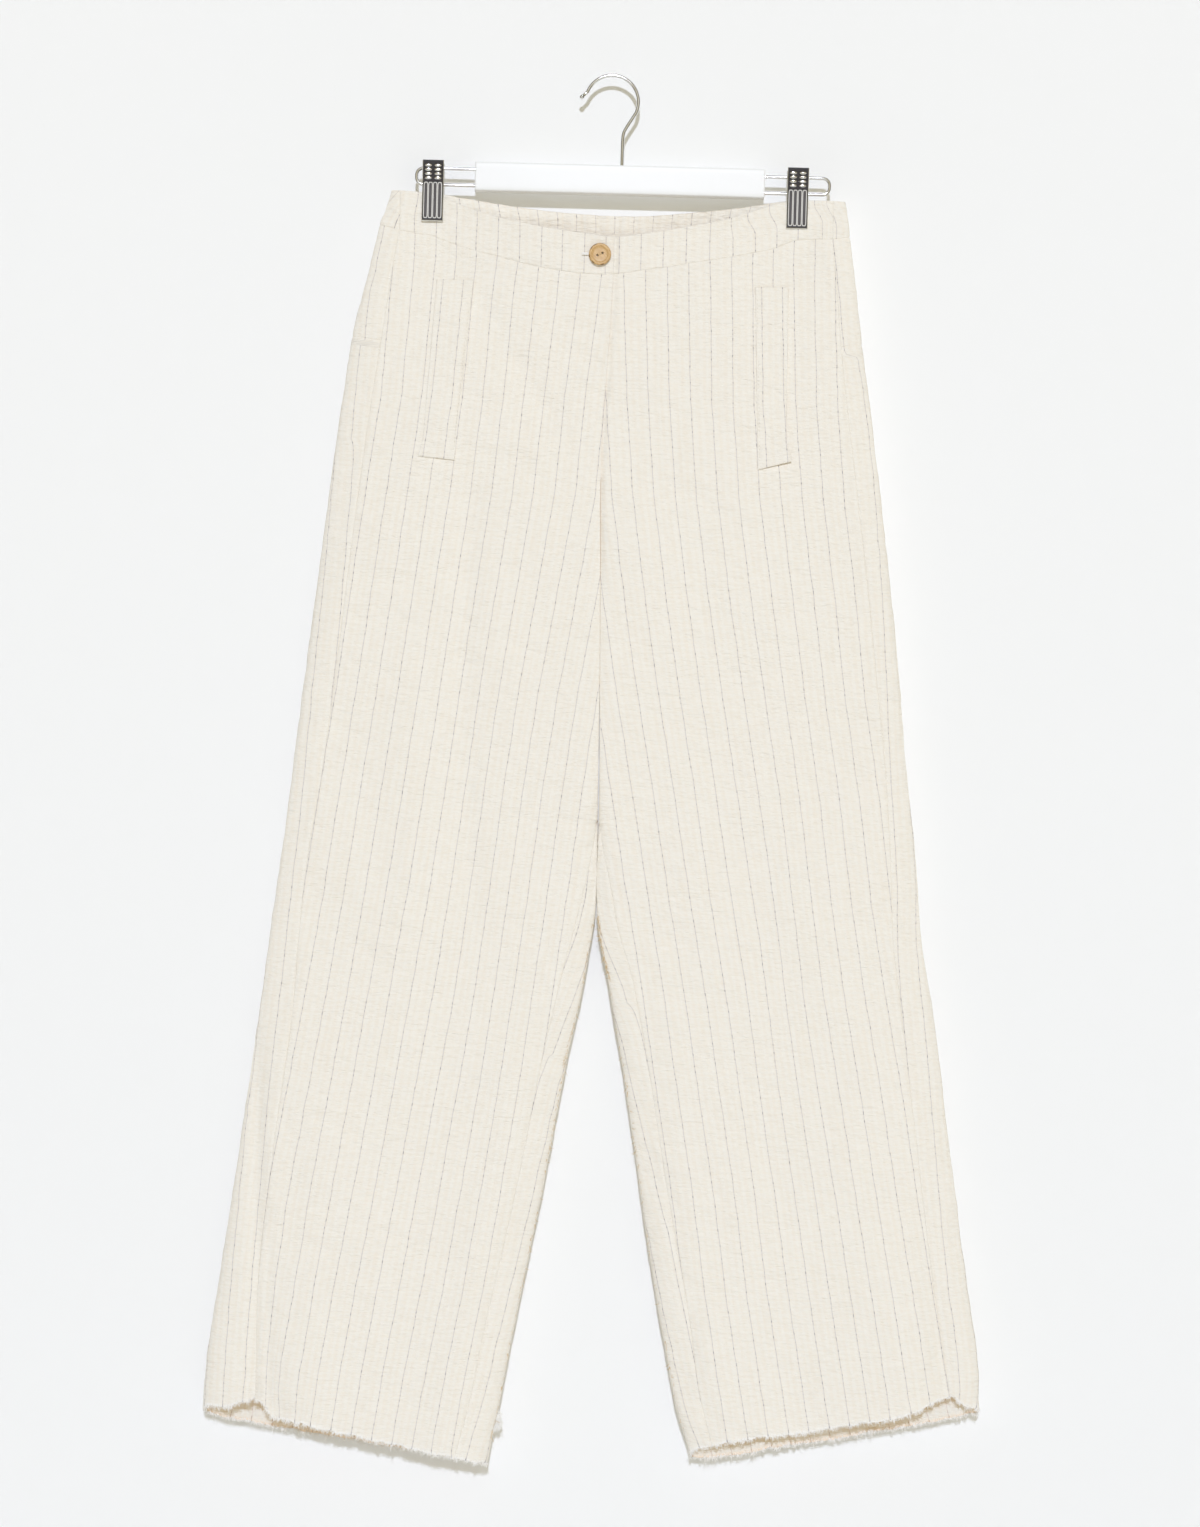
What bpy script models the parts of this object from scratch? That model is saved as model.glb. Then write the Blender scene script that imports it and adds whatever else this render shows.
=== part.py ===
"""Cotton trousers hanging from a clip hanger, as solids.

All sizes are in millimetres and become metres where a mesh is made. X runs to the viewer's right,
the front faces -Y and Z is up. The origin is the top of the hook's inside, where the hanger hangs.
"Right" and "left" are the wearer's: side -1 is the wearer's right, on the viewer's left.

The cloth is worked out in rings. A ring lies at one share of the way from the waist seam (0) to the
hem (1) and runs from the centre front across the front, round the outer fold, across the back and, on
the legs, round the inner fold to the inseam. Each panel takes its stretch of every ring, and its wall
is laid inwards from there.
"""

import math
from collections import namedtuple

import bmesh
import bpy
import numpy as np

MM = 0.001
SIDE_NAMES = {-1: "right", 1: "left"}

# ---- driving dimensions of the cloth -------------------------------------------------------------

CLOTH_WALL = 1.4
BAND_WALL = 1.8
WELT_WALL = 1.3
SEAM_GAP = 0.4  # between two pieces that are sewn together
FOLD_POWER = 3.2  # how square the folds are: 2 is an ellipse, more is flatter faces and rounder folds

SEAM_MIDDLE_FRONT, SEAM_MIDDLE_BACK = -160.0, -147.0  # height of the waist seam at its middle
BAND_TOP = -100.0  # height of the waistband's edge, from the clips outwards
MIDDLE_X = 3.0  # centre of the waist
CLIP_X = {-1: -142.3, 1: 152.3}
CLIP_REACH = 147.0  # from the waist's centre to a clip
CLIP_HALF = 9.0  # half the width that a clip squeezes flat
SQUEEZED = 3.3  # half the waist's depth in the clips
SIDE_PUFF, PUFF_GROWS = 2.2, 18.0  # how much fuller it is again outside the clips, and over what width
SQUEEZE_FADES = 0.16  # share of the length where the clips' pull is gone

TOP_SAG_FRONT, TOP_SAG_BACK = 29.0, 13.0  # how far the waistband's top edge hangs between the clips
TOP_SAG_POWER = 1.35  # the front edge hangs nearly in two straight lines
SEAM_SAG_FADES = 0.13  # share of the length where the sag is gone
MIDDLE_DEPTH_FRONT, MIDDLE_DEPTH_BACK = 11.0, 8.0  # from the middle plane to the waistband's bulge
BAND_TAPER = {-1: 9.0, 1: 4.5}  # how much narrower the waistband is at its top edge

YOKE_SHARE = 0.092
CROTCH_Z = -606.0  # where the four leg seams meet
CROTCH_CLOSES_FROM = -500.0  # from here down the fronts and backs curl towards each other
FLY_END_Z = -327.0
FLY_LAP = 9.0  # how far the left front runs on under the right one
FLY_FADES = 25.0  # height over which the lap narrows to nothing above the fly's end
LEVEL_AGAIN_Z = -427.0  # from here down the lapped edge is no longer set in
FLY_SINKS = 40.0  # height over which it sets in above that

GATHERS = 26  # across the back of the waistband
GATHERED_WIDTH = 380.0
GATHER_RISE = 1.0
GATHERED_STEP, GATHERED_COLUMNS = 3.7, 60
GATHER_FADES = 0.07  # share of the length where the yoke lies plain again
GATHER_AT_EDGES = 0.65  # share of the rise that is left at the waistband's edges
GATHER_GROWS = 12.0  # from a clip's edge to the full rise
FOLD_PLAIN, FOLD_GROWS_OVER = 6.0, 14.0  # plain width at the outer fold, then the width to the full rise

# One row for each station of a leg. share: of the way from waist seam to hem. outer, inner: X of the
# folds (inner is the centre seam above the crotch). front, back: how far each face stands from the
# middle plane. seam: from the outer fold to the side seam. inseam: from the inner fold to the inseam.
Station = namedtuple("Station", "share outer inner front back seam inseam")
STATIONS = {
    -1: (
        Station(0.000, -185.5, 4.6, 11.0, 8.0, 16.0, 0.0),
        Station(0.040, -194.0, 3.5, 11.0, 9.0, 19.0, 0.0),
        Station(0.090, -205.0, 1.0, 11.0, 10.0, 23.5, 0.0),
        Station(0.150, -212.5, -1.2, 11.5, 11.0, 23.5, 0.0),
        Station(0.250, -223.5, 0.5, 12.0, 12.0, 24.0, 0.0),
        Station(0.360, -234.5, 2.6, 12.0, 12.0, 24.5, 0.0),
        Station(0.463, -244.5, 3.8, 11.0, 11.0, 24.0, 0.5),
        Station(0.540, -253.0, 2.0, 11.0, 11.0, 22.0, 14.0),
        Station(0.600, -259.5, -4.5, 11.0, 11.0, 24.0, 19.0),
        Station(0.650, -265.0, -13.5, 11.0, 11.0, 27.0, 20.0),
        Station(0.780, -279.5, -34.5, 12.0, 12.0, 28.0, 21.0),
        Station(0.900, -294.3, -55.5, 14.0, 13.0, 33.0, 23.0),
        Station(0.960, -301.5, -65.0, 15.5, 14.0, 41.0, 24.0),
        Station(1.000, -303.5, -72.4, 17.0, 14.0, 43.0, 26.0),
    ),
    1: (
        Station(0.000, 195.5, 4.6, 11.0, 8.0, 14.0, 0.0),
        Station(0.040, 201.0, 3.5, 11.0, 9.0, 15.5, 0.0),
        Station(0.090, 207.3, 1.0, 11.0, 10.0, 17.0, 0.0),
        Station(0.150, 216.5, -1.2, 11.5, 11.0, 19.0, 0.0),
        Station(0.250, 229.9, 0.5, 12.0, 12.0, 19.0, 0.0),
        Station(0.360, 242.9, 2.6, 12.0, 12.0, 18.5, 0.0),
        Station(0.471, 254.7, 4.2, 11.0, 11.0, 18.0, 0.5),
        Station(0.540, 262.9, 5.0, 11.0, 11.0, 21.0, 14.0),
        Station(0.600, 269.0, 14.6, 11.0, 11.0, 24.0, 19.0),
        Station(0.650, 277.2, 24.1, 11.0, 11.0, 25.5, 20.0),
        Station(0.780, 296.0, 45.8, 12.0, 12.0, 27.0, 21.0),
        Station(0.900, 313.8, 67.0, 13.0, 12.0, 28.0, 22.0),
        Station(0.960, 322.4, 79.4, 13.0, 13.0, 27.0, 19.0),
        Station(1.000, 324.8, 91.8, 13.0, 13.0, 24.0, 17.0),
    ),
}

# Heights where each face ends: at the outer and the inner fold, waist seam (start) and hem (end).
Ends = namedtuple("Ends", "start end")
HEIGHTS = {
    -1: {
        "front outer": Ends(-128.0, -1078.0),
        "front inner": Ends(SEAM_MIDDLE_FRONT, -1124.0),
        "back outer": Ends(-128.0, -1092.0),
        "back inner": Ends(SEAM_MIDDLE_BACK, -1125.0),
    },
    1: {
        "front outer": Ends(-125.0, -1066.0),
        "front inner": Ends(SEAM_MIDDLE_FRONT, -1106.0),
        "back outer": Ends(-125.0, -1072.0),
        "back inner": Ends(SEAM_MIDDLE_BACK, -1118.0),
    },
}

# Long soft folds of the legs. face: -1 front, 1 back. across: where it lies, from the inner fold (0) to
# the outer (1), at its start and at the hem. wide: its half-width. rise: outwards, or less than 0 for a
# trough. starts: the share of the length where it begins to grow.
Fold = namedtuple("Fold", "side face across_start across_hem wide rise starts")
FOLDS = (
    Fold(-1, -1, 0.88, 0.74, 11.0, -3.2, 0.72),
    Fold(-1, -1, 0.80, 0.62, 20.0, 1.8, 0.70),
    Fold(-1, -1, 0.45, 0.34, 24.0, -1.8, 0.40),
    Fold(-1, -1, 0.16, 0.17, 12.0, 1.8, 0.50),
    Fold(-1, 1, 0.70, 0.66, 26.0, 2.0, 0.30),
    Fold(-1, 1, 0.35, 0.28, 22.0, -2.2, 0.45),
    Fold(1, -1, 0.90, 0.87, 10.0, -2.8, 0.74),
    Fold(1, -1, 0.72, 0.70, 24.0, 1.8, 0.45),
    Fold(1, -1, 0.40, 0.42, 22.0, -1.6, 0.50),
    Fold(1, -1, 0.16, 0.14, 11.0, 1.6, 0.52),
    Fold(1, 1, 0.62, 0.66, 26.0, 2.0, 0.32),
    Fold(1, 1, 0.30, 0.33, 20.0, -2.2, 0.50),
)

HEM_NOTCH = {-1: 9.0, 1: 6.0}  # how far the side seam draws the hem up
HEM_NOTCH_WIDE = 10.0
HEM_NOTCH_FADES = 0.96

# The shares where rings are made: few down the plain trunk, closer at the crotch, then down the leg.
RING_RUNS = (Ends(0.0, 0.40), Ends(0.40, 0.60), Ends(0.60, 1.0))
RINGS_IN_RUN = (7, 8, 8)

LEAST_SHARE = 0.008  # between a panel's own ends and the rings inside it
LEG_LONG = 960.0

RING_SAMPLES = 720  # points on a ring before it is thinned out
RING_THIRD = RING_SAMPLES // 3  # the front, the back, and the front again
SHUT_FROM = 0.995  # share of the crotch's curve past which front and back have met
INSEAM_LEAST = 0.6  # from the inner fold, where the inseam starts
GROWN_BY = 1.4  # a long fold has its full rise before the hem
STEP_ALONG = 17.0  # of arc, between columns of a panel
STEP_TURN = 0.50  # of turning, in radians, between columns round a fold
EDGE_COLUMNS = (0.0, 1.0, 4.0)  # of arc, from a front's centre edge, where it may be lapped under
FRONT_COLUMNS, BACK_COLUMNS = 14, 23
BAND_ROWS, BACK_BAND_ROWS = 4, 3
UNDERLAP = 27.0  # how far the left waistband end runs on under the right one

# ---- pocket welts: (X, Z) of the corners, then how far the foot spreads outwards -------------------

Welt = namedtuple("Welt", "side top_inner top_outer foot_inner foot_outer flare")
WELTS = (
    Welt(-1, (-108.0, -168.2), (-138.0, -168.2), (-119.6, -314.4), (-146.4, -312.0), 0.0),
    Welt(1, (119.7, -168.0), (146.6, -167.3), (125.2, -316.0), (147.8, -308.5), 4.5),
)
WELT_LIFT = 0.4
WELT_ROWS, WELT_COLUMNS = 12, 4
FLARE_FROM = 0.88

# ---- button ---------------------------------------------------------------------------------------

BUTTON_RADIUS, BUTTON_THICK = 9.0, 3.0
BUTTON_X, BUTTON_Z = -6.5, -145.3
BUTTON_HOLE_RADIUS, BUTTON_HOLE_APART = 1.05, 4.2
BUTTON_LIFT = 0.8
BUTTON_SEGMENTS, HOLE_SEGMENTS = 22, 10
# From the button's back to its face: how far in from its edge, and how high.
Turned = namedtuple("Turned", "inwards height")
BUTTON_PROFILE = (
    Turned(BUTTON_RADIUS, 0.0),
    Turned(1.6, 0.0),
    Turned(0.3, 0.8),
    Turned(0.0, 1.6),
    Turned(0.5, BUTTON_THICK - 0.3),
    Turned(1.6, BUTTON_THICK),
    Turned(3.0, BUTTON_THICK - 0.7),
    Turned(BUTTON_RADIUS, BUTTON_THICK - 0.8),
)
BUTTON_TURN = math.radians(25)

# ---- hanger ---------------------------------------------------------------------------------------

BAR_LEFT, BAR_RIGHT = -107.7, 126.4
BAR_TOP, BAR_BOTTOM = -72.6, -94.5
BAR_DEEP = 15.0
BAR_EDGE = 1.2
SOCKET_DEEP = 12.0
SOCKET_SPARE = 0.3  # round a wire
SOCKET_SIDES = 12
WIRE_SHORT = 1.0  # a wire ends this far from its socket's bottom
CUTTER_PROUD = 2.0  # how far a cutter starts outside what it cuts

WIRE_RADIUS = 1.35
WIRE_UPPER, WIRE_LOWER = -77.4, -90.7
WIRE_END = {-1: -155.3, 1: 176.4}
WIRE_CORNER, CORNER_STEPS = 4.5, 6
WIRE_SIDES = 8

HOOK_WIRE_RADIUS = 1.5
HOOK_RADIUS = 21.4  # to the middle of the wire
HOOK_STEPS, HOOK_SIDES = 24, 10
HOOK_FROM, HOOK_TO = math.radians(159), math.radians(-24)
HOOK_BALL_RADIUS, BALL_RINGS = 2.1, 7
BALL_ENDS = 0.96  # the ball's first and last rings, as a share of its radius from its middle
BALL_TIP = 0.3  # radius of the small flat that ends it
HOOK_BALL = (-24.4, -16.6)
STEM_X = 9.35
HOOK_BEND = (10.3, -43.5)
STEM_EASES = (9.5, -48.0)
STEM_STARTS = -51.0

JAW_WIDE = 16.6
JAW_TOP = {-1: -72.0, 1: -70.6}
JAW_BOTTOM = {-1: -121.0, 1: -119.7}
JAW_SHEET = 1.2
# Share of the way down a jaw, and how far its inside stands from the middle plane there.
Profile = namedtuple("Profile", "share stands")
JAW_PROFILE = (
    Profile(0.0, 8.2),
    Profile(0.12, 7.2),
    Profile(0.27, 5.6),
    Profile(0.42, 4.5),
    Profile(0.62, 4.0),
    Profile(0.90, 3.7),
    Profile(1.0, 3.7),
)
JAW_BENDS = 0.62  # share of the way down where the plate bends between the flutes' ends
FLUTES = 4
FLUTE_RISE = 0.9
FLUTE_FROM, FLUTE_TO, FLUTE_SLOPE = 0.36, 0.94, 0.03
FLUTE_FOOT, FLUTE_CREST = 0.36, 0.20  # half-widths, as a share of the flutes' pitch
FLUTE_MARGIN = 0.45  # of a pitch, left plain at the jaw's edges
BUMP_COLUMNS, BUMP_ROWS = 2, 4
BUMP_FROM, BUMP_TO = 0.05, 0.31
BUMP_GAP, BUMP_END = 0.10, 0.44  # of the jaw's width, from its middle
BACK_JAW_WIDER = 0.8
EAR_REACH = 9.0  # how far the back jaw's ears come forward
EAR_ROOT, EAR_SUNK = 0.2, 0.6  # share of the way down where an ear joins, and how deep it sits in the plate
EAR_TOP, EAR_BOTTOM = -74.2, -94.6
EAR_SHEET, EAR_PROUD = 0.9, 0.3
BARREL_RADIUS, BARREL_LONG, BARREL_SIDES = 3.8, 11.0, 14

# ---- colours: (red, green, blue), roughness, metallic ------------------------------------------------

Finish = namedtuple("Finish", "colour roughness metallic")
COTTON = Finish((0.82, 0.77, 0.68), 0.92, 0.0)
HORN = Finish((0.62, 0.40, 0.17), 0.45, 0.0)
WHITE_PAINT = Finish((0.92, 0.93, 0.93), 0.4, 0.0)
CHROME = Finish((0.80, 0.80, 0.80), 0.15, 1.0)
CLIP_STEEL = Finish((0.32, 0.30, 0.31), 0.3, 1.0)


# ---- small helpers -----------------------------------------------------------------------------------


def smooth(x):
    """0 below 0, 1 above 1, and a soft step between."""
    x = np.clip(x, 0.0, 1.0)
    return x * x * (3.0 - 2.0 * x)


def at(side, column, share):
    """A station column's value at a share of the length, on a smooth curve through the rows."""
    rows = STATIONS[side]
    places = np.array([row.share for row in rows])
    values = np.array([getattr(row, column) for row in rows])
    slopes = np.gradient(values, places)
    k = int(np.clip(np.searchsorted(places, share) - 1, 0, len(places) - 2))
    span = places[k + 1] - places[k]
    u = (share - places[k]) / span
    return (
        (1 + 2 * u) * (1 - u) ** 2 * values[k]
        + u * (1 - u) ** 2 * span * slopes[k]
        + u * u * (3 - 2 * u) * values[k + 1]
        - u * u * (1 - u) * span * slopes[k + 1]
    )


def from_clips(x):
    """How far X is inside the clips' squeezed stretch (more than 0) or outside it (less)."""
    return CLIP_REACH - np.abs(x - MIDDLE_X)


def hanging(x, power=2.0):
    """1 at the waist's middle, 0 from the clips outwards, in a parabola or a sharper curve."""
    return 1.0 - np.clip(np.abs(x - MIDDLE_X) / CLIP_REACH, 0.0, 1.0) ** power


def waist_depth(x, middle):
    """Half the waist's depth: squeezed in the clips, bulging between them, a little full outside."""
    inside = np.clip((from_clips(x) - CLIP_HALF) / (CLIP_REACH - CLIP_HALF), 0.0, 1.0)
    outside = smooth((-from_clips(x) - CLIP_HALF) / PUFF_GROWS)
    return SQUEEZED + (middle - SQUEEZED) * (1.0 - (1.0 - inside) ** 2) + SIDE_PUFF * outside


# ---- rings ---------------------------------------------------------------------------------------------


class Ring:
    """One ring of the cloth: points, wall directions and a measure that spaces the columns.

    t runs from -1 at the inner fold to 1 at the outer. On the front it comes first, then the outer
    fold, then the back, and round the inner fold to the front again.
    """

    def __init__(self, side, share, band=None):
        self.side, self.share = side, share
        outer = at(side, "outer", share)
        inner = at(side, "inner", share) + side * SEAM_GAP / 2
        if band is not None:  # 0 at the waist seam, 1 at the waistband's top edge
            outer -= side * band * BAND_TAPER[side]
        self.outer, self.inner = outer, inner
        middle, half = (outer + inner) / 2, (outer - inner) / 2

        angle = np.linspace(math.pi, -2 * math.pi, RING_SAMPLES)
        cos, sin = np.cos(angle), np.sin(angle)
        t = np.sign(cos) * np.abs(cos) ** (2 / FOLD_POWER)
        lens = np.abs(sin) ** (2 / FOLD_POWER)
        face = -np.sign(sin)  # -1 front, 1 back
        x = middle + half * t

        z_inner = self.height(share, 1.0, -1.0, inner)
        self.open = self.openness(z_inner)
        lens = np.where(t < 0, self.open + (1 - self.open) * lens, lens)

        squeeze = np.clip(1 - share / SQUEEZE_FADES, 0, 1) ** 2
        deep = np.where(
            face < 0,
            (1 - squeeze) * at(side, "front", share) + squeeze * waist_depth(x, MIDDLE_DEPTH_FRONT),
            (1 - squeeze) * at(side, "back", share) + squeeze * waist_depth(x, MIDDLE_DEPTH_BACK),
        )
        y = face * lens * deep + self.folds(share, t, face, lens)

        shut = (1 - t) / 2  # 0 at the outer fold, 1 at the inner
        blend = 0.5 * (1 + np.clip(y / np.maximum(deep, 1.0), -1, 1))
        front_z = self.height(share, shut, -1.0, x, band)
        back_z = self.height(share, shut, 1.0, x, band)
        z = (1 - blend) * front_z + blend * back_z
        z = z + self.notch(share, x, face)

        if self.open <= 0:
            keep = slice(None)
        else:  # above the crotch the ring stops at the centre back
            keep = angle >= -math.pi
        self.t, self.face = t[keep], face[keep]
        self.points = np.stack([x, y, z], axis=1)[keep]
        self.gather(share, band)
        self.measure_out()

    def height(self, share, shut, face, x, band=None):
        """Height of a face at a share, straight from fold to fold but for the waist's sag."""
        name = "front" if face < 0 else "back"
        outer, inner = HEIGHTS[self.side][name + " outer"], HEIGHTS[self.side][name + " inner"]
        z_outer = outer.start + (outer.end - outer.start) * share
        z_inner = inner.start + (inner.end - inner.start) * share
        fade = np.clip(1 - share / SEAM_SAG_FADES, 0, 1) ** 2
        z = z_outer + (z_inner - z_outer) * shut + (inner.start - outer.start) * (hanging(x) - shut) * fade
        if band is None:
            return z
        top_sag = TOP_SAG_FRONT if face < 0 else TOP_SAG_BACK
        top = BAND_TOP - top_sag * hanging(x, TOP_SAG_POWER if face < 0 else 2.0)
        low = z + SEAM_GAP
        return low + (top - low) * band

    def openness(self, z_inner):
        """1 where front and back stay apart at the centre, 0 from the crotch down."""
        if z_inner >= CROTCH_CLOSES_FROM:
            return 1.0
        u = (CROTCH_CLOSES_FROM - z_inner) / (CROTCH_CLOSES_FROM - CROTCH_Z)
        return math.sqrt(1 - u * u) if u < SHUT_FROM else 0.0

    def folds(self, share, t, face, lens):
        """The long folds: each a soft ridge or trough that grows down to the hem."""
        across = (t + 1) / 2
        total = np.zeros_like(t)
        for fold in FOLDS:
            if fold.side != self.side or share <= fold.starts:
                continue
            grown = (share - fold.starts) / (1 - fold.starts)
            place = fold.across_start + (fold.across_hem - fold.across_start) * grown
            wide = fold.wide / abs(self.outer - self.inner)
            shape = np.exp(-(((across - place) / wide) ** 2)) * (face == fold.face)
            total += fold.face * fold.rise * smooth(grown * GROWN_BY) * shape * lens
        return total

    def notch(self, share, x, face):
        """The hem rises to a point at the side seam."""
        if share <= HEM_NOTCH_FADES:
            return 0.0
        seam = self.outer - self.side * at(self.side, "seam", share)
        near = np.exp(-(((x - seam) / HEM_NOTCH_WIDE) ** 2)) * (face < 0)
        grown = (share - HEM_NOTCH_FADES) / (1 - HEM_NOTCH_FADES)
        return HEM_NOTCH[self.side] * grown**2 * near

    def gather(self, share, band):
        """Small even waves where the elastic draws in the back."""
        if share > GATHER_FADES:
            return
        fade = (1 - share / GATHER_FADES) ** 2
        x = self.points[:, 0]
        free = smooth((np.abs(from_clips(x)) - CLIP_HALF) / GATHER_GROWS)
        free = free * smooth((np.abs(x - self.outer) - FOLD_PLAIN) / FOLD_GROWS_OVER)
        wave = np.sin(2 * math.pi * GATHERS * (x - MIDDLE_X) / GATHERED_WIDTH)
        rise = GATHER_RISE * fade * free * wave * (self.face > 0)
        if band is not None:
            rise = rise * (GATHER_AT_EDGES + (1 - GATHER_AT_EDGES) * math.sin(math.pi * band))
        self.points[:, 1] += rise

    def measure_out(self):
        """Outward directions, and the measure of arc and turning along the ring."""
        flat = self.points[:, :2]
        along = np.gradient(flat, axis=0)
        along /= np.maximum(np.linalg.norm(along, axis=1, keepdims=True), 1e-9)
        out = np.stack([along[:, 1], -along[:, 0]], axis=1) * self.side
        self.outward = np.concatenate([out, np.zeros((len(out), 1))], axis=1)
        step = np.linalg.norm(np.diff(self.points, axis=0), axis=1)
        cosine = np.clip((along[1:] * along[:-1]).sum(axis=1), -1, 1)
        self.arc = np.concatenate([[0.0], np.cumsum(step)])
        self.turned = np.concatenate([[0.0], np.cumsum(np.arccos(cosine))])

    def place_of_seam(self):
        """Arc where the side seam crosses the front."""
        front = self.face < 0
        first = int(np.argmin(front)) if not front.all() else len(front)
        x = self.points[:first, 0]
        seam = self.outer - self.side * at(self.side, "seam", self.share)
        return float(np.interp(self.side * seam, self.side * x, self.arc[:first]))

    def places_of_inseam(self):
        """Arc where the inner seam is met from the ring's start, and again near its end."""
        if self.open > 0:
            return 0.0, float(self.arc[-1])
        inset = max(at(self.side, "inseam", self.share), INSEAM_LEAST)
        x = self.points[:, 0]
        target = self.inner + self.side * inset
        first = slice(0, RING_THIRD)
        start = float(np.interp(self.side * target, self.side * x[first], self.arc[first]))
        last = slice(2 * RING_THIRD, None)
        end = float(np.interp(self.side * target, self.side * x[last], self.arc[last]))
        return start, end

    def stretch(self, start, end, columns, step_along=STEP_ALONG):
        """Points and outward directions of a stretch, close together where the ring turns."""
        measure = self.arc / step_along + self.turned / STEP_TURN
        low, high = np.interp([start, end], self.arc, measure)
        wanted = np.linspace(low, high, columns)
        points = np.stack([np.interp(wanted, measure, self.points[:, k]) for k in range(3)], axis=1)
        outward = np.stack([np.interp(wanted, measure, self.outward[:, k]) for k in range(3)], axis=1)
        outward /= np.linalg.norm(outward, axis=1, keepdims=True)
        return points, outward


# ---- making objects ------------------------------------------------------------------------------------


def finish_material(name, finish):
    """A plain material of one finish."""
    material = bpy.data.materials.new(name)
    material.use_nodes = True
    shader = material.node_tree.nodes["Principled BSDF"]
    shader.inputs["Base Color"].default_value = (*finish.colour, 1.0)
    shader.inputs["Roughness"].default_value = finish.roughness
    shader.inputs["Metallic"].default_value = finish.metallic
    material.diffuse_color = (*finish.colour, 1.0)
    return material


def add_object(name, mesh, finish):
    """Puts a mesh into the scene under its own name and material."""
    thing = bpy.data.objects.new(name, mesh)
    mesh.materials.append(finish_material(name, finish))
    bpy.context.scene.collection.objects.link(thing)
    return thing


def mesh_of(name, points, faces):
    """A mesh from points in millimetres, with its faces turned outwards."""
    mesh = bpy.data.meshes.new(name)
    mesh.from_pydata([tuple(p) for p in np.asarray(points, float) * MM], [], faces)
    turn_outwards(mesh)
    return mesh


def turn_outwards(mesh):
    """Faces of a closed mesh point out of it."""
    work = bmesh.new()
    work.from_mesh(mesh)
    bmesh.ops.recalc_face_normals(work, faces=work.faces)
    work.to_mesh(mesh)
    work.free()


def grid_faces(rows, columns, first=0, turned=False):
    """Quads of a grid whose points are stored row by row."""
    faces = []
    for i in range(rows - 1):
        for j in range(columns - 1):
            a = first + i * columns + j
            quad = (a, a + 1, a + columns + 1, a + columns)
            faces.append(quad[::-1] if turned else quad)
    return faces


def wall(name, outside, outward, thick, finish):
    """A closed wall: the outside grid, the same grid set in by its thickness, and the rim between."""
    rows, columns = outside.shape[:2]
    inside = outside - outward * thick
    points = np.concatenate([outside.reshape(-1, 3), inside.reshape(-1, 3)])
    count = rows * columns
    faces = grid_faces(rows, columns) + grid_faces(rows, columns, count, turned=True)
    border = (
        [j for j in range(columns)]
        + [i * columns + columns - 1 for i in range(1, rows)]
        + [(rows - 1) * columns + j for j in range(columns - 2, -1, -1)]
        + [i * columns for i in range(rows - 2, 0, -1)]
    )
    for a, b in zip(border, border[1:] + border[:1]):
        faces.append((a, a + count, b + count, b))
    return add_object(name, mesh_of(name, points, faces), finish)


def panel_shares(start, end):
    """The rings' shares within a panel, with its own first and last."""
    shares = [start]
    for run, count in zip(RING_RUNS, RINGS_IN_RUN):
        for share in np.linspace(run.start, run.end, count, endpoint=False):
            if start + LEAST_SHARE < share < end - LEAST_SHARE:
                shares.append(float(share))
    return shares + [end]


def front_stretch(this, start, lap=0.0, drop=0.0):
    """Columns of a front piece; its centre edge may run on under the other front by lap, set in by drop."""
    end = this.place_of_seam() - SEAM_GAP / 2
    points, outward = this.stretch(start + EDGE_COLUMNS[-1], end, FRONT_COLUMNS)
    edge, edge_out = this.stretch(start, start + EDGE_COLUMNS[1], 2)
    edge[0, 0] -= this.side * lap
    edge[:, 1] += drop
    return np.concatenate([edge, points]), np.concatenate([edge_out, outward])


def front_panel(side):
    """Front of one leg, from the centre seam or inseam to the side seam."""
    outside, outward = [], []
    for share in panel_shares(0.0, 1.0):
        this = Ring(side, share)
        start, _ = this.places_of_inseam()
        gap = 0.0 if this.open > 0 else SEAM_GAP / 2
        lap, drop = 0.0, 0.0
        if side == 1:
            height = this.points[0, 2]
            lap = FLY_LAP * smooth((height - FLY_END_Z) / FLY_FADES)
            drop = (CLOTH_WALL + SEAM_GAP) * smooth((height - LEVEL_AGAIN_Z) / FLY_SINKS)
        points, out = front_stretch(this, start + gap, lap, drop)
        outside.append(points)
        outward.append(out)
    wall("front_" + SIDE_NAMES[side], np.array(outside), np.array(outward), CLOTH_WALL, COTTON)


def back_panel(name, side, start_share, end_share, columns, step_along):
    """Back of one leg or its yoke, from the side seam round the outer fold to its inner seam."""
    outside, outward = [], []
    for share in panel_shares(start_share, end_share):
        this = Ring(side, share)
        _, end = this.places_of_inseam()
        gap = 0.0 if this.open > 0 else SEAM_GAP / 2
        start = this.place_of_seam() + SEAM_GAP / 2
        points, out = this.stretch(start, end - gap, columns, step_along)
        outside.append(points)
        outward.append(out)
    wall(name, np.array(outside), np.array(outward), CLOTH_WALL, COTTON)


def front_band(side):
    """Front waistband piece of one side; the left one runs on under the right one's end."""
    outside, outward = [], []
    lap, drop = (UNDERLAP, BAND_WALL + SEAM_GAP) if side == 1 else (0.0, 0.0)
    for band in np.linspace(0.0, 1.0, BAND_ROWS):
        points, out = front_stretch(Ring(side, 0.0, band), 0.0, lap, drop)
        outside.append(points)
        outward.append(out)
    name = "waistband_front_" + SIDE_NAMES[side]
    wall(name, np.array(outside), np.array(outward), BAND_WALL, COTTON)


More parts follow.
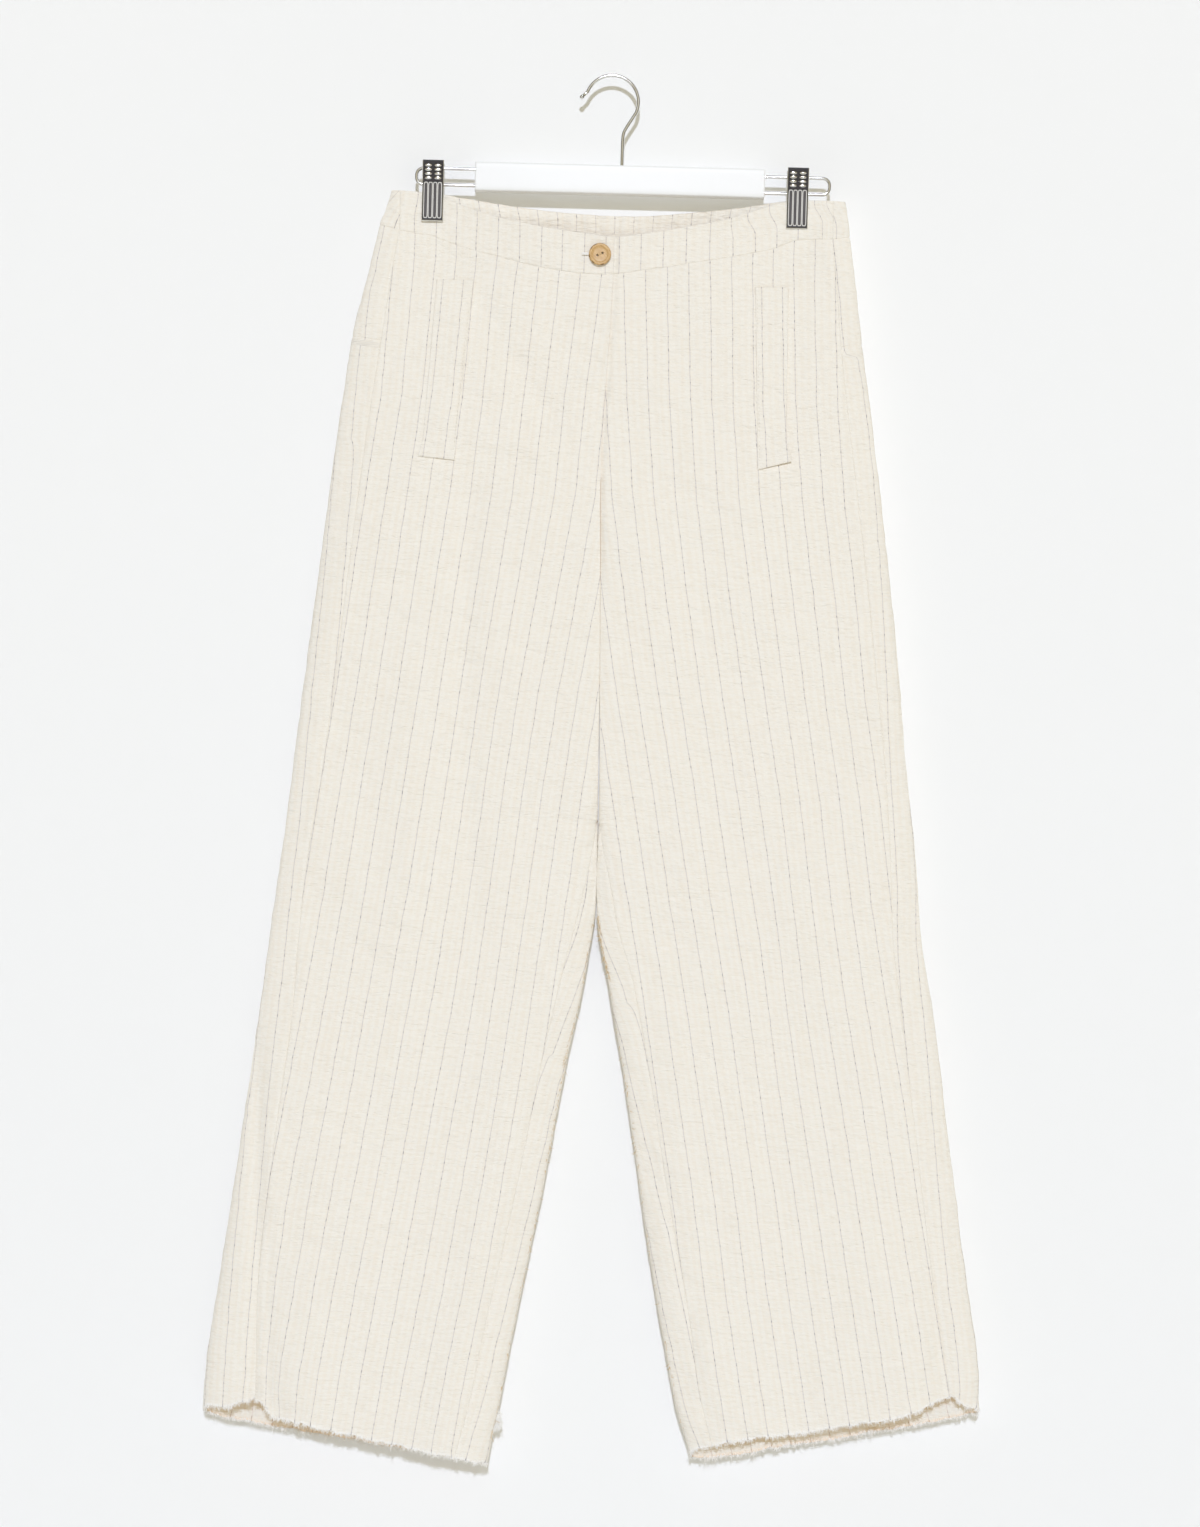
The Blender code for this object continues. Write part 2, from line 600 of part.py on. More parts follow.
def back_band():
    """The gathered back waistband, one piece from side seam to side seam."""
    outside, outward = [], []
    for band in np.linspace(0.0, 1.0, BACK_BAND_ROWS):
        halves = []
        for side in (-1, 1):
            this = Ring(side, 0.0, band)
            start, end = this.place_of_seam() + SEAM_GAP / 2, float(this.arc[-1])
            halves.append(this.stretch(start, end, GATHERED_COLUMNS, GATHERED_STEP))
        (right, right_out), (left, left_out) = halves
        outside.append(np.concatenate([right[:-1], left[::-1][1:]]))
        outward.append(np.concatenate([right_out[:-1], left_out[::-1][1:]]))
    wall("waistband_back", np.array(outside), np.array(outward), BAND_WALL, COTTON)


# ---- what lies on the fronts -----------------------------------------------------------------------------


def front_point(side, x, z):
    """The front panel's outside point and outward direction at an X and a Z."""
    low, high = 0.0, 1.0
    for _ in range(18):
        share = (low + high) / 2
        this = Ring(side, share)
        third = RING_THIRD if this.open <= 0 else int((this.face < 0).sum())
        place = float(np.interp(side * x, side * this.points[:third, 0], this.arc[:third]))
        height = float(np.interp(place, this.arc, this.points[:, 2]))
        if height > z:
            low = share
        else:
            high = share
    point = np.array([np.interp(place, this.arc, this.points[:, k]) for k in range(3)])
    out = np.array([np.interp(place, this.arc, this.outward[:, k]) for k in range(3)])
    return point, out / np.linalg.norm(out)


def pocket_welt(welt):
    """A pocket's long welt, laid over the front's points and lifted off them."""
    outside, outward = [], []
    top_in, top_out = np.array(welt.top_inner), np.array(welt.top_outer)
    foot_in, foot_out = np.array(welt.foot_inner), np.array(welt.foot_outer)
    for down in np.linspace(0.0, 1.0, WELT_ROWS):
        spread = welt.side * welt.flare * smooth((down - FLARE_FROM) / (1 - FLARE_FROM))
        points, outs = [], []
        for across in np.linspace(0.0, 1.0, WELT_COLUMNS):
            x, z = (1 - down) * ((1 - across) * top_in + across * top_out) + down * (
                (1 - across) * foot_in + across * foot_out
            )
            point, out = front_point(welt.side, x + spread * across, z)
            points.append(point + out * (WELT_LIFT + WELT_WALL))
            outs.append(out)
        outside.append(points)
        outward.append(outs)
    name = "pocket_welt_" + SIDE_NAMES[welt.side]
    wall(name, np.array(outside), np.array(outward), WELT_WALL, COTTON)


def turned_solid(profile, segments):
    """Points and faces of a profile of (radius, height) pairs turned about Z; it starts and ends at 0."""
    points, faces = [(0.0, 0.0, profile[0][1])], []
    rings_of = profile[1:-1]
    for radius, height in rings_of:
        for k in range(segments):
            turn = 2 * math.pi * k / segments
            points.append((radius * math.cos(turn), radius * math.sin(turn), height))
    points.append((0.0, 0.0, profile[-1][1]))
    last = len(points) - 1
    for k in range(segments):
        n = (k + 1) % segments
        faces.append((0, 1 + k, 1 + n))
        for r in range(len(rings_of) - 1):
            a, b = 1 + r * segments + k, 1 + r * segments + n
            faces.append((a, b, b + segments, a + segments))
        base = 1 + (len(rings_of) - 1) * segments
        faces.append((base + k, last, base + n))
    return np.array(points), faces


def cut(thing, cutter):
    """Takes a cutter's shape out of an object."""
    cutter.hide_render = True
    cutter.display_type = "WIRE"
    modifier = thing.modifiers.new("cut " + cutter.name, "BOOLEAN")
    modifier.operation = "DIFFERENCE"
    modifier.object = cutter


def rod(name, start, end, radius, sides, finish):
    """A straight round bar between two points."""
    start, end = np.array(start, float), np.array(end, float)
    axis = (end - start) / np.linalg.norm(end - start)
    guide = np.array([0.0, 0.0, 1.0]) if abs(axis[2]) < 0.9 else np.array([1.0, 0.0, 0.0])
    u = np.cross(axis, guide)
    u /= np.linalg.norm(u)
    v = np.cross(axis, u)
    turn = 2 * math.pi * (np.arange(sides) + 0.5) / sides
    circle = radius * (np.cos(turn)[:, None] * u + np.sin(turn)[:, None] * v)
    points = np.concatenate([circle + start, circle + end])
    faces = [tuple(range(sides)), tuple(range(2 * sides - 1, sides - 1, -1))]
    for k in range(sides):
        n = (k + 1) % sides
        faces.append((k, n, n + sides, k + sides))
    return add_object(name, mesh_of(name, points, faces), finish)


def button():
    """The waistband's button: a rimmed disc with a dished middle and two holes."""
    profile = [(BUTTON_RADIUS - row.inwards, row.height) for row in BUTTON_PROFILE]
    points, faces = turned_solid(profile, BUTTON_SEGMENTS)
    back = -(MIDDLE_DEPTH_FRONT + BUTTON_LIFT)
    placed = np.stack([points[:, 0], -points[:, 2] + back, points[:, 1]], axis=1)
    placed[:, 0] += BUTTON_X
    placed[:, 2] += BUTTON_Z
    disc = add_object("button", mesh_of("button", placed, faces), HORN)
    for k in (-1, 1):
        dx = k * BUTTON_HOLE_APART / 2 * math.cos(BUTTON_TURN)
        dz = k * BUTTON_HOLE_APART / 2 * math.sin(BUTTON_TURN)
        x, z = BUTTON_X + dx, BUTTON_Z + dz
        hole = rod(
            f"button_hole_{k}",
            (x, back - BUTTON_THICK - CUTTER_PROUD, z),
            (x, back + CUTTER_PROUD, z),
            BUTTON_HOLE_RADIUS,
            HOLE_SEGMENTS,
            HORN,
        )
        cut(disc, hole)


# ---- hanger -------------------------------------------------------------------------------------------


def box(name, low, high, finish, edge=0.0):
    """A box between two corners, with its edges rounded by a bevel."""
    corners = [(x, y, z) for x in (low[0], high[0]) for y in (low[1], high[1]) for z in (low[2], high[2])]
    faces = [(0, 1, 3, 2), (4, 6, 7, 5), (0, 4, 5, 1), (2, 3, 7, 6), (0, 2, 6, 4), (1, 5, 7, 3)]
    thing = add_object(name, mesh_of(name, corners, faces), finish)
    if edge:
        bevel = thing.modifiers.new("edges", "BEVEL")
        bevel.width = edge * MM
        bevel.segments = 2
    return thing


def hanger_bar():
    """The painted bar, with a socket for each wire end and one for the hook."""
    bar = box(
        "hanger_bar",
        (BAR_LEFT, -BAR_DEEP / 2, BAR_BOTTOM),
        (BAR_RIGHT, BAR_DEEP / 2, BAR_TOP),
        WHITE_PAINT,
        BAR_EDGE,
    )
    for side, end in ((-1, BAR_LEFT), (1, BAR_RIGHT)):
        for label, height in (("upper", WIRE_UPPER), ("lower", WIRE_LOWER)):
            socket = rod(
                f"socket_{label}_{side}",
                (end + side * CUTTER_PROUD, 0, height),
                (end - side * SOCKET_DEEP, 0, height),
                WIRE_RADIUS + SOCKET_SPARE,
                SOCKET_SIDES,
                WHITE_PAINT,
            )
            cut(bar, socket)
    socket = rod(
        "socket_hook",
        (STEM_X, 0, BAR_TOP + CUTTER_PROUD),
        (STEM_X, 0, BAR_TOP - SOCKET_DEEP),
        HOOK_WIRE_RADIUS + SOCKET_SPARE,
        SOCKET_SIDES,
        WHITE_PAINT,
    )
    cut(bar, socket)


def tube(name, path, radius, sides, finish):
    """A wire along a path of (X, Z) points in the hanger's plane, with flat ends."""
    path = np.array([(x, 0.0, z) for x, z in path])
    along = np.gradient(path, axis=0)
    along /= np.linalg.norm(along, axis=1, keepdims=True)
    across = np.stack([along[:, 2], np.zeros(len(path)), -along[:, 0]], axis=1)
    depth = np.array([0.0, 1.0, 0.0])
    turn = 2 * math.pi * (np.arange(sides) + 0.5) / sides
    radii = np.broadcast_to(np.asarray(radius, float), (len(path),))
    rings_of = (
        path[:, None, :]
        + radii[:, None, None] * np.cos(turn)[None, :, None] * across[:, None, :]
        + radii[:, None, None] * np.sin(turn)[None, :, None] * depth
    )
    points = rings_of.reshape(-1, 3)
    faces = [tuple(range(sides)), tuple(len(points) - 1 - k for k in range(sides))]
    for i in range(len(path) - 1):
        for k in range(sides):
            n = (k + 1) % sides
            a, b = i * sides + k, i * sides + n
            faces.append((a, b, b + sides, a + sides))
    return add_object(name, mesh_of(name, points, faces), finish)


def arc(centre, radius, start, end, steps):
    """Points on an arc, angles in radians."""
    turn = np.linspace(start, end, steps)
    return [(centre[0] + radius * math.cos(a), centre[1] + radius * math.sin(a)) for a in turn]


def hanger_wire(side):
    """A wire loop that leaves one end of the bar, turns back and goes in again."""
    bar_end = BAR_LEFT if side < 0 else BAR_RIGHT
    inside = bar_end - side * (SOCKET_DEEP - WIRE_SHORT)
    corner = WIRE_END[side] - side * WIRE_CORNER
    half = math.pi / 2
    outwards, down = half - side * half, half - 2 * side * half
    upper = arc((corner, WIRE_UPPER - WIRE_CORNER), WIRE_CORNER, half, outwards, CORNER_STEPS)
    lower = arc((corner, WIRE_LOWER + WIRE_CORNER), WIRE_CORNER, outwards, down, CORNER_STEPS)
    path = [(inside, WIRE_UPPER), *upper, *lower, (inside, WIRE_LOWER)]
    tube(f"hanger_wire_{SIDE_NAMES[side]}", path, WIRE_RADIUS, WIRE_SIDES, CHROME)


def hanger_hook():
    """The hook: ball end, a flick, most of a circle, a slanting neck and the stem."""
    top = -HOOK_WIRE_RADIUS + HOOK_RADIUS
    centre = (0.0, -top)
    curve = arc(centre, HOOK_RADIUS, HOOK_FROM, HOOK_TO, HOOK_STEPS)
    ball = np.array(HOOK_BALL)
    first = np.array(curve[0])
    away = (ball - first) / np.linalg.norm(ball - first)
    path, radii = [], []
    for step in BALL_ENDS * np.linspace(1.0, -1.0, BALL_RINGS):  # from the ball's far side inwards
        path.append(tuple(ball + away * HOOK_BALL_RADIUS * step))
        radii.append(max(BALL_TIP, HOOK_BALL_RADIUS * math.sqrt(1 - step**2)))
    radii[-1] = radii[-2] = HOOK_WIRE_RADIUS
    path += curve
    path += [HOOK_BEND, STEM_EASES, (STEM_X, STEM_STARTS)]
    path.append((STEM_X, BAR_TOP - SOCKET_DEEP + WIRE_SHORT))
    radii += [HOOK_WIRE_RADIUS] * (len(path) - len(radii))
    tube("hanger_hook", path, radii, HOOK_SIDES, CHROME)


# ---- clips --------------------------------------------------------------------------------------------


def jaw_stands(share):
    """How far a jaw's inside is from the middle plane at a share of the way down."""
    return float(np.interp(share, [p.share for p in JAW_PROFILE], [p.stands for p in JAW_PROFILE]))


def front_jaw(side):
    """The ribbed front jaw: a bent plate with four upright flutes below and two rows of bumps above."""
    wide, top, long = JAW_WIDE, JAW_TOP[side], JAW_TOP[side] - JAW_BOTTOM[side]
    pitch = wide / (FLUTES + FLUTE_MARGIN)
    columns = [-wide / 2]
    for k in range(FLUTES):
        middle = k - (FLUTES - 1) / 2
        for edge in (-FLUTE_FOOT, -FLUTE_CREST, FLUTE_CREST, FLUTE_FOOT):
            columns.append((middle + edge) * pitch)
    columns.append(wide / 2)
    bump_rows = np.linspace(BUMP_FROM, BUMP_TO, 2 * BUMP_ROWS + 1)
    flute_rows = (FLUTE_FROM, FLUTE_FROM + FLUTE_SLOPE, JAW_BENDS, FLUTE_TO - FLUTE_SLOPE, FLUTE_TO)
    rows = [0.0, *bump_rows, *flute_rows, 1.0]
    front = []
    for row in rows:
        for j, x in enumerate(columns):
            on_flute = 0 < j < len(columns) - 1 and (j - 1) % 4 in (1, 2)
            on_bump = row in bump_rows[1::2] and BUMP_GAP * wide < abs(x) < BUMP_END * wide
            raised = on_bump or (on_flute and FLUTE_FROM < row < FLUTE_TO)
            y = -(jaw_stands(row) + JAW_SHEET + (FLUTE_RISE if raised else 0.0))
            front.append((CLIP_X[side] + x, y, top - long * row))
    back = [
        (CLIP_X[side] + x, -jaw_stands(row), top - long * row) for row in rows for x in (-wide / 2, wide / 2)
    ]
    count, last = len(columns), len(rows) - 1
    faces = grid_faces(len(rows), count)
    first = len(front)
    for i in range(last):
        low, high = first + 2 * i, first + 2 * i + 2
        faces.append((low, high, high + 1, low + 1))
        faces.append((i * count, (i + 1) * count, high, low))
        faces.append(((i + 1) * count - 1, low + 1, high + 1, (i + 2) * count - 1))
    faces.append((*range(count), first + 1, first))
    faces.append((*range(last * count, (last + 1) * count), first + 2 * last + 1, first + 2 * last))
    name = f"clip_front_{SIDE_NAMES[side]}"
    add_object(name, mesh_of(name, front + back, faces), CLIP_STEEL)


def back_jaw(side):
    """The plain back jaw, whose two ears come forward round the wire loop."""
    wide, top, long = JAW_WIDE + BACK_JAW_WIDER, JAW_TOP[side], JAW_TOP[side] - JAW_BOTTOM[side]
    name = f"clip_back_{SIDE_NAMES[side]}"
    rows = [p.share for p in JAW_PROFILE]
    outside = np.array(
        [
            [(CLIP_X[side] + x, jaw_stands(row) + JAW_SHEET, top - long * row) for x in (-wide / 2, wide / 2)]
            for row in rows
        ]
    )
    inside = outside.copy()
    for i, row in enumerate(rows):
        inside[i, :, 1] = jaw_stands(row)
    plate = wall(name, outside, outside - inside, 1.0, CLIP_STEEL)
    for k in (-1, 1):
        edge = CLIP_X[side] + k * wide / 2
        low_x, high_x = sorted((edge - k * EAR_SHEET, edge + k * EAR_PROUD))
        root = jaw_stands(EAR_ROOT) + EAR_SUNK
        low, high = (low_x, root - EAR_REACH, EAR_BOTTOM), (high_x, root, EAR_TOP)
        ear = box(f"{name}_ear_{k}", low, high, CLIP_STEEL)
        ear.hide_render = True
        ear.display_type = "WIRE"
        joined = plate.modifiers.new(f"ear {k}", "BOOLEAN")
        joined.operation = "UNION"
        joined.object = ear
    for label, height in (("upper", WIRE_UPPER), ("lower", WIRE_LOWER)):
        hole = rod(
            f"{name}_hole_{label}",
            (CLIP_X[side] - wide, 0, height),
            (CLIP_X[side] + wide, 0, height),
            WIRE_RADIUS + SOCKET_SPARE,
            HOLE_SEGMENTS,
            CLIP_STEEL,
        )
        cut(plate, hole)


def clip_barrel(side):
    """The spring barrel between the jaws, round the lower wire."""
    inner, outer, sides = WIRE_RADIUS + SOCKET_SPARE, BARREL_RADIUS, BARREL_SIDES
    turn = 2 * math.pi * np.arange(sides) / sides
    points, faces = [], []
    for x, radius in ((-1, outer), (1, outer), (1, inner), (-1, inner)):
        along = CLIP_X[side] + x * BARREL_LONG / 2
        for a in turn:
            points.append((along, radius * math.cos(a), WIRE_LOWER + radius * math.sin(a)))
    for r in range(4):
        for k in range(sides):
            n = (k + 1) % sides
            a, b = r * sides, ((r + 1) % 4) * sides
            faces.append((a + k, a + n, b + n, b + k))
    name = f"clip_barrel_{SIDE_NAMES[side]}"
    add_object(name, mesh_of(name, points, faces), CLIP_STEEL)


# ---- the whole ------------------------------------------------------------------------------------------


def main():
    """Clears the scene and makes the trousers' pieces, then the hanger's."""
    for thing in list(bpy.data.objects):
        bpy.data.objects.remove(thing, do_unlink=True)
    back_starts = YOKE_SHARE + SEAM_GAP / LEG_LONG
    for side in (-1, 1):
        front_panel(side)
        back_panel("yoke_" + SIDE_NAMES[side], side, 0.0, YOKE_SHARE, GATHERED_COLUMNS, GATHERED_STEP)
        back_panel("back_" + SIDE_NAMES[side], side, back_starts, 1.0, BACK_COLUMNS, STEP_ALONG)
        front_band(side)
        hanger_wire(side)
        front_jaw(side)
        back_jaw(side)
        clip_barrel(side)
    back_band()
    for welt in WELTS:
        pocket_welt(welt)
    button()
    hanger_bar()
    hanger_hook()


main()
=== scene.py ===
"""Cotton trousers on a clip hanger: the finished cloth, the hanger, a wall, a floor, lights and a camera.

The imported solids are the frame. The cloth is worked out from the same rings as they are: a ring lies at
one share of the way from the waist seam (0) to the hem (1) and runs from the centre front across the
front, round the outer fold, across the back and, on the legs, round the inner fold to the inseam. Each
panel takes its stretch of every ring on a much finer grid, gets its relief and becomes a thin shell.

Sizes are in millimetres in the frame's axes and become metres where a mesh is written. X runs to the
viewer's right, the front faces -Y and Z is up. Side -1 is the wearer's right, on the viewer's left.
"""

from __future__ import annotations

import logging
import math
from dataclasses import dataclass, field
from enum import Enum

import bpy
import numpy as np
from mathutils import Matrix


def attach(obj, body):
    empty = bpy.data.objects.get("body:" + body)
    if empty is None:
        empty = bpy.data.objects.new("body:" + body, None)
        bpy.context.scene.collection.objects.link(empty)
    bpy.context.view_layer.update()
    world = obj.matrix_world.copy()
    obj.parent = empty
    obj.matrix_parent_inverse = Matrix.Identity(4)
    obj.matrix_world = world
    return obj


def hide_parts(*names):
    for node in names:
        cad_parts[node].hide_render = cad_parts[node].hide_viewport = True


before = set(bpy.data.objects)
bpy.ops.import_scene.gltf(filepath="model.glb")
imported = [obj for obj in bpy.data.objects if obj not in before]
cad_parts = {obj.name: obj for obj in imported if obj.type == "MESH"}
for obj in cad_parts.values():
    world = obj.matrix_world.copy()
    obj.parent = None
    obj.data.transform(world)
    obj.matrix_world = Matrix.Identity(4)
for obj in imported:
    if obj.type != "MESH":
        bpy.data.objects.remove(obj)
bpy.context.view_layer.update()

LOG = logging.getLogger("trousers")
MM = 0.001
SIDE_NAMES = {-1: "right", 1: "left"}
Array = np.ndarray
Y_AXIS = np.array([0.0, 1.0, 0.0])


class Table:
    """A short measured table, with named columns."""

    def __init__(self, names: str, *rows: tuple) -> None:
        """Takes the columns' names and the rows."""
        self.rows = rows
        self.columns = dict(zip(names.split(), np.array(rows, float).T))

    def read(self, name: str, by: str, where: Array) -> Array:
        """A column where another one has given values, by straight lines between the rows."""
        order = np.argsort(self.columns[by])
        return np.interp(where, self.columns[by][order], self.columns[name][order])

    def eased(self, name: str, by: str, where: Array) -> Array:
        """A column where another one, which rises, has given values, on a smooth curve through the rows.

        Formula: a cubic Hermite between neighbouring rows, with the rows' central differences as slopes.
        """
        places, values = self.columns[by], self.columns[name]
        slopes = np.gradient(values, places)
        k = np.clip(np.searchsorted(places, where) - 1, 0, len(places) - 2)
        span = places[k + 1] - places[k]
        u = (where - places[k]) / span
        from_start = (1 + 2 * u) * (1 - u) ** 2 * values[k] + u * (1 - u) ** 2 * span * slopes[k]
        return from_start + u * u * (3 - 2 * u) * values[k + 1] - u * u * (1 - u) * span * slopes[k + 1]


# ---- the cloth's driving sizes, as in the solids ---------------------------------------------------------

SEAM_GAP = 0.02
FOLD_POWER = 3.2
SEAM_MIDDLE_FRONT, SEAM_MIDDLE_BACK = -160.0, -147.0
BAND_TOP = -100.0
MIDDLE_X = 3.0
HANGING_SOFT = 0.003
CLIP_X = {-1: -143.0, 1: 152.1}
CLIP_REACH, CLIP_HALF = 147.0, 9.0
SQUEEZED, SQUEEZE_FADES = 3.3, 0.16
SIDE_PUFF, PUFF_GROWS = 2.2, 18.0
TOP_SAGS = {"front": (29.0, 1.35), "back": (13.0, 2.0)}  # how far the top edges sag, and their powers
SEAM_SAG_FADES = 0.13
MIDDLE_DEPTHS = {"front": 11.0, "back": 8.0}
BAND_TAPER = {-1: 9.0, 1: 4.5}
YOKE_SHARE = 0.092
LEG_LONG = 960.0
CROTCH_Z, CROTCH_CLOSES_FROM, SHUT_FROM = -606.0, -500.0, 0.995
FLY_END_Z, FLY_LAP, FLY_FADES = -327.0, 9.0, 25.0
LEVEL_AGAIN_Z, FLY_SINKS, FLY_STEP, FLY_STEP_WIDE = -427.0, 40.0, 1.8, 5.0
GATHERS, GATHERED_WIDTH, GATHER_RISE = 26, 380.0, 1.0
GATHER_FADES, GATHER_AT_EDGES, GATHER_GROWS = 0.07, 0.65, 12.0
FOLD_PLAIN, FOLD_GROWS_OVER = 6.0, 14.0
HEM_NOTCH = {-1: 11.5, 1: 12.0}
HEM_NOTCH_OUTER, HEM_NOTCH_INNER = {-1: 19.0, 1: 9.0}, {-1: 8.5, 1: 24.0}
HEM_NOTCH_ASIDE, HEM_NOTCH_FADES = {-1: 3.0, 1: 0.0}, 0.96
HEM_CLOSES, HEM_CLOSES_FROM = 9.0, 0.93
INSEAM_LEAST, GROWN_BY = 0.6, 1.4
UNDERLAP, BAND_STEP, BAND_STEP_WIDE = 27.0, 2.2, 4.0

# At an X: how far the waistband's top edges and the waist seams lie above the plain sagging form.
WAIST = Table(
    "x top_front top_back seam_front seam_back",
    (-184.0, 3.8, 3.8, 3.0, 3.0), (-168.0, 3.5, 3.7, -1.0, 1.0), (-150.0, 3.0, 3.5, -3.3, 0.0),
    (-131.0, 0.6, 3.5, -3.2, 0.0), (-107.0, -2.4, 3.5, -2.2, 0.0), (-90.0, -3.0, 3.4, -0.6, 0.0),
    (-54.0, -2.6, 2.4, -1.2, 0.0), (-20.0, -1.4, 1.9, -1.4, 0.0), (3.0, -1.8, 1.4, -1.0, 0.0),
    (30.0, -1.0, 1.5, 2.4, 0.0), (66.0, -0.4, 3.2, 3.8, 0.0), (95.0, -0.2, 3.8, 1.8, 0.0),
    (117.0, 2.4, 4.4, -0.8, 0.0), (135.0, 4.2, 5.0, -3.8, 0.0), (152.0, 4.4, 4.6, -3.0, 0.0),
    (182.0, 4.0, 4.0, -2.2, 0.0), (196.0, 3.8, 3.8, 0.4, 0.4),
)
# Stations down a leg: X of its folds, how far each face stands out, and how far in its seams lie.
STATION = "share outer inner front back seam inseam"
STATIONS = {
    -1: Table(
        STATION,
        (0.000, -185.5, 4.6, 11.0, 8.0, 16.0, 0.0), (0.040, -194.0, 3.5, 11.0, 9.0, 19.0, 0.0),
        (0.090, -205.0, 1.0, 11.0, 10.0, 23.5, 0.0), (0.150, -212.5, -1.2, 11.5, 11.0, 23.5, 0.0),
        (0.250, -223.5, 0.5, 12.0, 12.0, 24.0, 0.0), (0.360, -234.5, 2.6, 12.0, 12.0, 24.5, 0.0),
        (0.463, -244.5, 3.8, 11.0, 11.0, 24.0, 0.5), (0.540, -253.0, 3.9, 11.0, 11.0, 22.0, 14.0),
        (0.600, -259.5, -4.5, 11.0, 11.0, 24.0, 19.0), (0.650, -265.0, -13.5, 11.0, 11.0, 27.0, 20.0),
        (0.780, -279.5, -34.5, 12.0, 12.0, 28.0, 21.0), (0.900, -294.3, -55.5, 14.0, 13.0, 33.0, 23.0),
        (0.960, -301.5, -65.0, 15.5, 14.0, 41.0, 24.0), (1.000, -303.5, -72.4, 17.0, 14.0, 43.0, 26.0),
    ),
    1: Table(
        STATION,
        (0.000, 195.5, 4.6, 11.0, 8.0, 14.0, 0.0), (0.040, 201.0, 3.5, 11.0, 9.0, 15.5, 0.0),
        (0.090, 207.3, 1.0, 11.0, 10.0, 17.0, 0.0), (0.150, 216.5, -1.2, 11.5, 11.0, 19.0, 0.0),
        (0.250, 229.9, 0.5, 12.0, 12.0, 19.0, 0.0), (0.360, 242.9, 2.6, 12.0, 12.0, 18.5, 0.0),
        (0.471, 254.7, 4.2, 11.0, 11.0, 18.0, 0.5), (0.540, 262.9, 4.2, 11.0, 11.0, 21.0, 14.0),
        (0.556, 264.5, 5.5, 11.0, 11.0, 21.8, 15.3), (0.600, 269.0, 14.6, 11.0, 11.0, 24.0, 19.0),
        (0.650, 277.2, 24.1, 11.0, 11.0, 25.5, 20.0), (0.780, 296.0, 45.8, 12.0, 12.0, 27.0, 21.0),
        (0.900, 313.8, 67.0, 13.0, 12.0, 28.0, 22.0), (0.960, 322.4, 79.4, 13.0, 13.0, 27.0, 19.0),
        (1.000, 324.8, 91.8, 13.0, 13.0, 24.0, 17.0),
    ),
}
# By side and face: heights of the outer fold at waist seam and hem, and of the inner one.
HEIGHTS = {
    (-1, "front"): ((-128.0, -1078.0), (SEAM_MIDDLE_FRONT, -1124.0)),
    (-1, "back"): ((-128.0, -1092.0), (SEAM_MIDDLE_BACK, -1125.0)),
    (1, "front"): ((-125.0, -1066.0), (SEAM_MIDDLE_FRONT, -1106.0)),
    (1, "back"): ((-125.0, -1076.0), (SEAM_MIDDLE_BACK, -1120.5)),
}
# Long soft folds, by side: face, place across the leg at start and hem, half-width, rise, share of start.
FOLDS = {
    -1: (
        (-1, 0.88, 0.74, 11.0, -3.2, 0.72), (-1, 0.80, 0.62, 20.0, 1.8, 0.70),
        (-1, 0.45, 0.34, 24.0, -1.8, 0.40), (-1, 0.16, 0.17, 12.0, 1.8, 0.50),
        (1, 0.70, 0.66, 26.0, 2.0, 0.30), (1, 0.35, 0.28, 22.0, -2.2, 0.45),
    ),
    1: (
        (-1, 0.90, 0.87, 10.0, -2.8, 0.74), (-1, 0.72, 0.70, 24.0, 1.8, 0.45),
        (-1, 0.40, 0.42, 22.0, -1.6, 0.50), (-1, 0.16, 0.14, 11.0, 1.6, 0.52),
        (1, 0.62, 0.66, 26.0, 2.0, 0.32), (1, 0.30, 0.33, 20.0, -2.2, 0.50),
    ),
}

# ---- the finer cloth of this file ------------------------------------------------------------------------

RING_SAMPLES = 1080
RING_THIRD = RING_SAMPLES // 3
THICK = 0.9  # of the cloth's shell
# BAND_GLOW is the share of the painted glow that the waistbands' wrong side shows.
BAND_THICK, BAND_GLOW = 1.5, 0.25
STEP_ALONG, STEP_TURN = 2.7, 0.13  # of arc in millimetres, and of turning in radians, between columns
EDGE_STEPS = np.array([0.0, 0.15, 0.5, 1.0, 2.0, 3.5])  # columns and rows beside an edge
RAW_STEPS = np.array([1.6, 0.6, 0.0])  # rows above a cut edge
SEAM_SINKS, SEAM_SOFT = 0.42, 0.35  # depth to which a sewn edge turns in, and over what width
SEAM_DIP, SEAM_DIP_WIDE = 0.34, 2.4  # the shallow valley beside it
FOLDED_ROUND = 0.4
RAW_WIDE = 1.9  # how far a cut edge is frayed
CALM_LEAST, CALM_WIDE = 0.15, 9.0  # the crinkle's share at a sewn edge, and how far off it is whole
FACING_LEAST = 0.35  # the relief's share at the folds, which keep their outlines
CREASE_FADES, CREASE_PAST = 0.3, 0.12  # shares of a crease's length over which, and past which, it fades
TEETH, TEETH_WIDE = 0.55, 2.5  # height of a cut edge's unevenness, and how far up it reaches
FAR = 1e3  # a distance past every edge's finish
PITCH = 17.0  # between two pinstripes
NEWTON_STEPS = 8

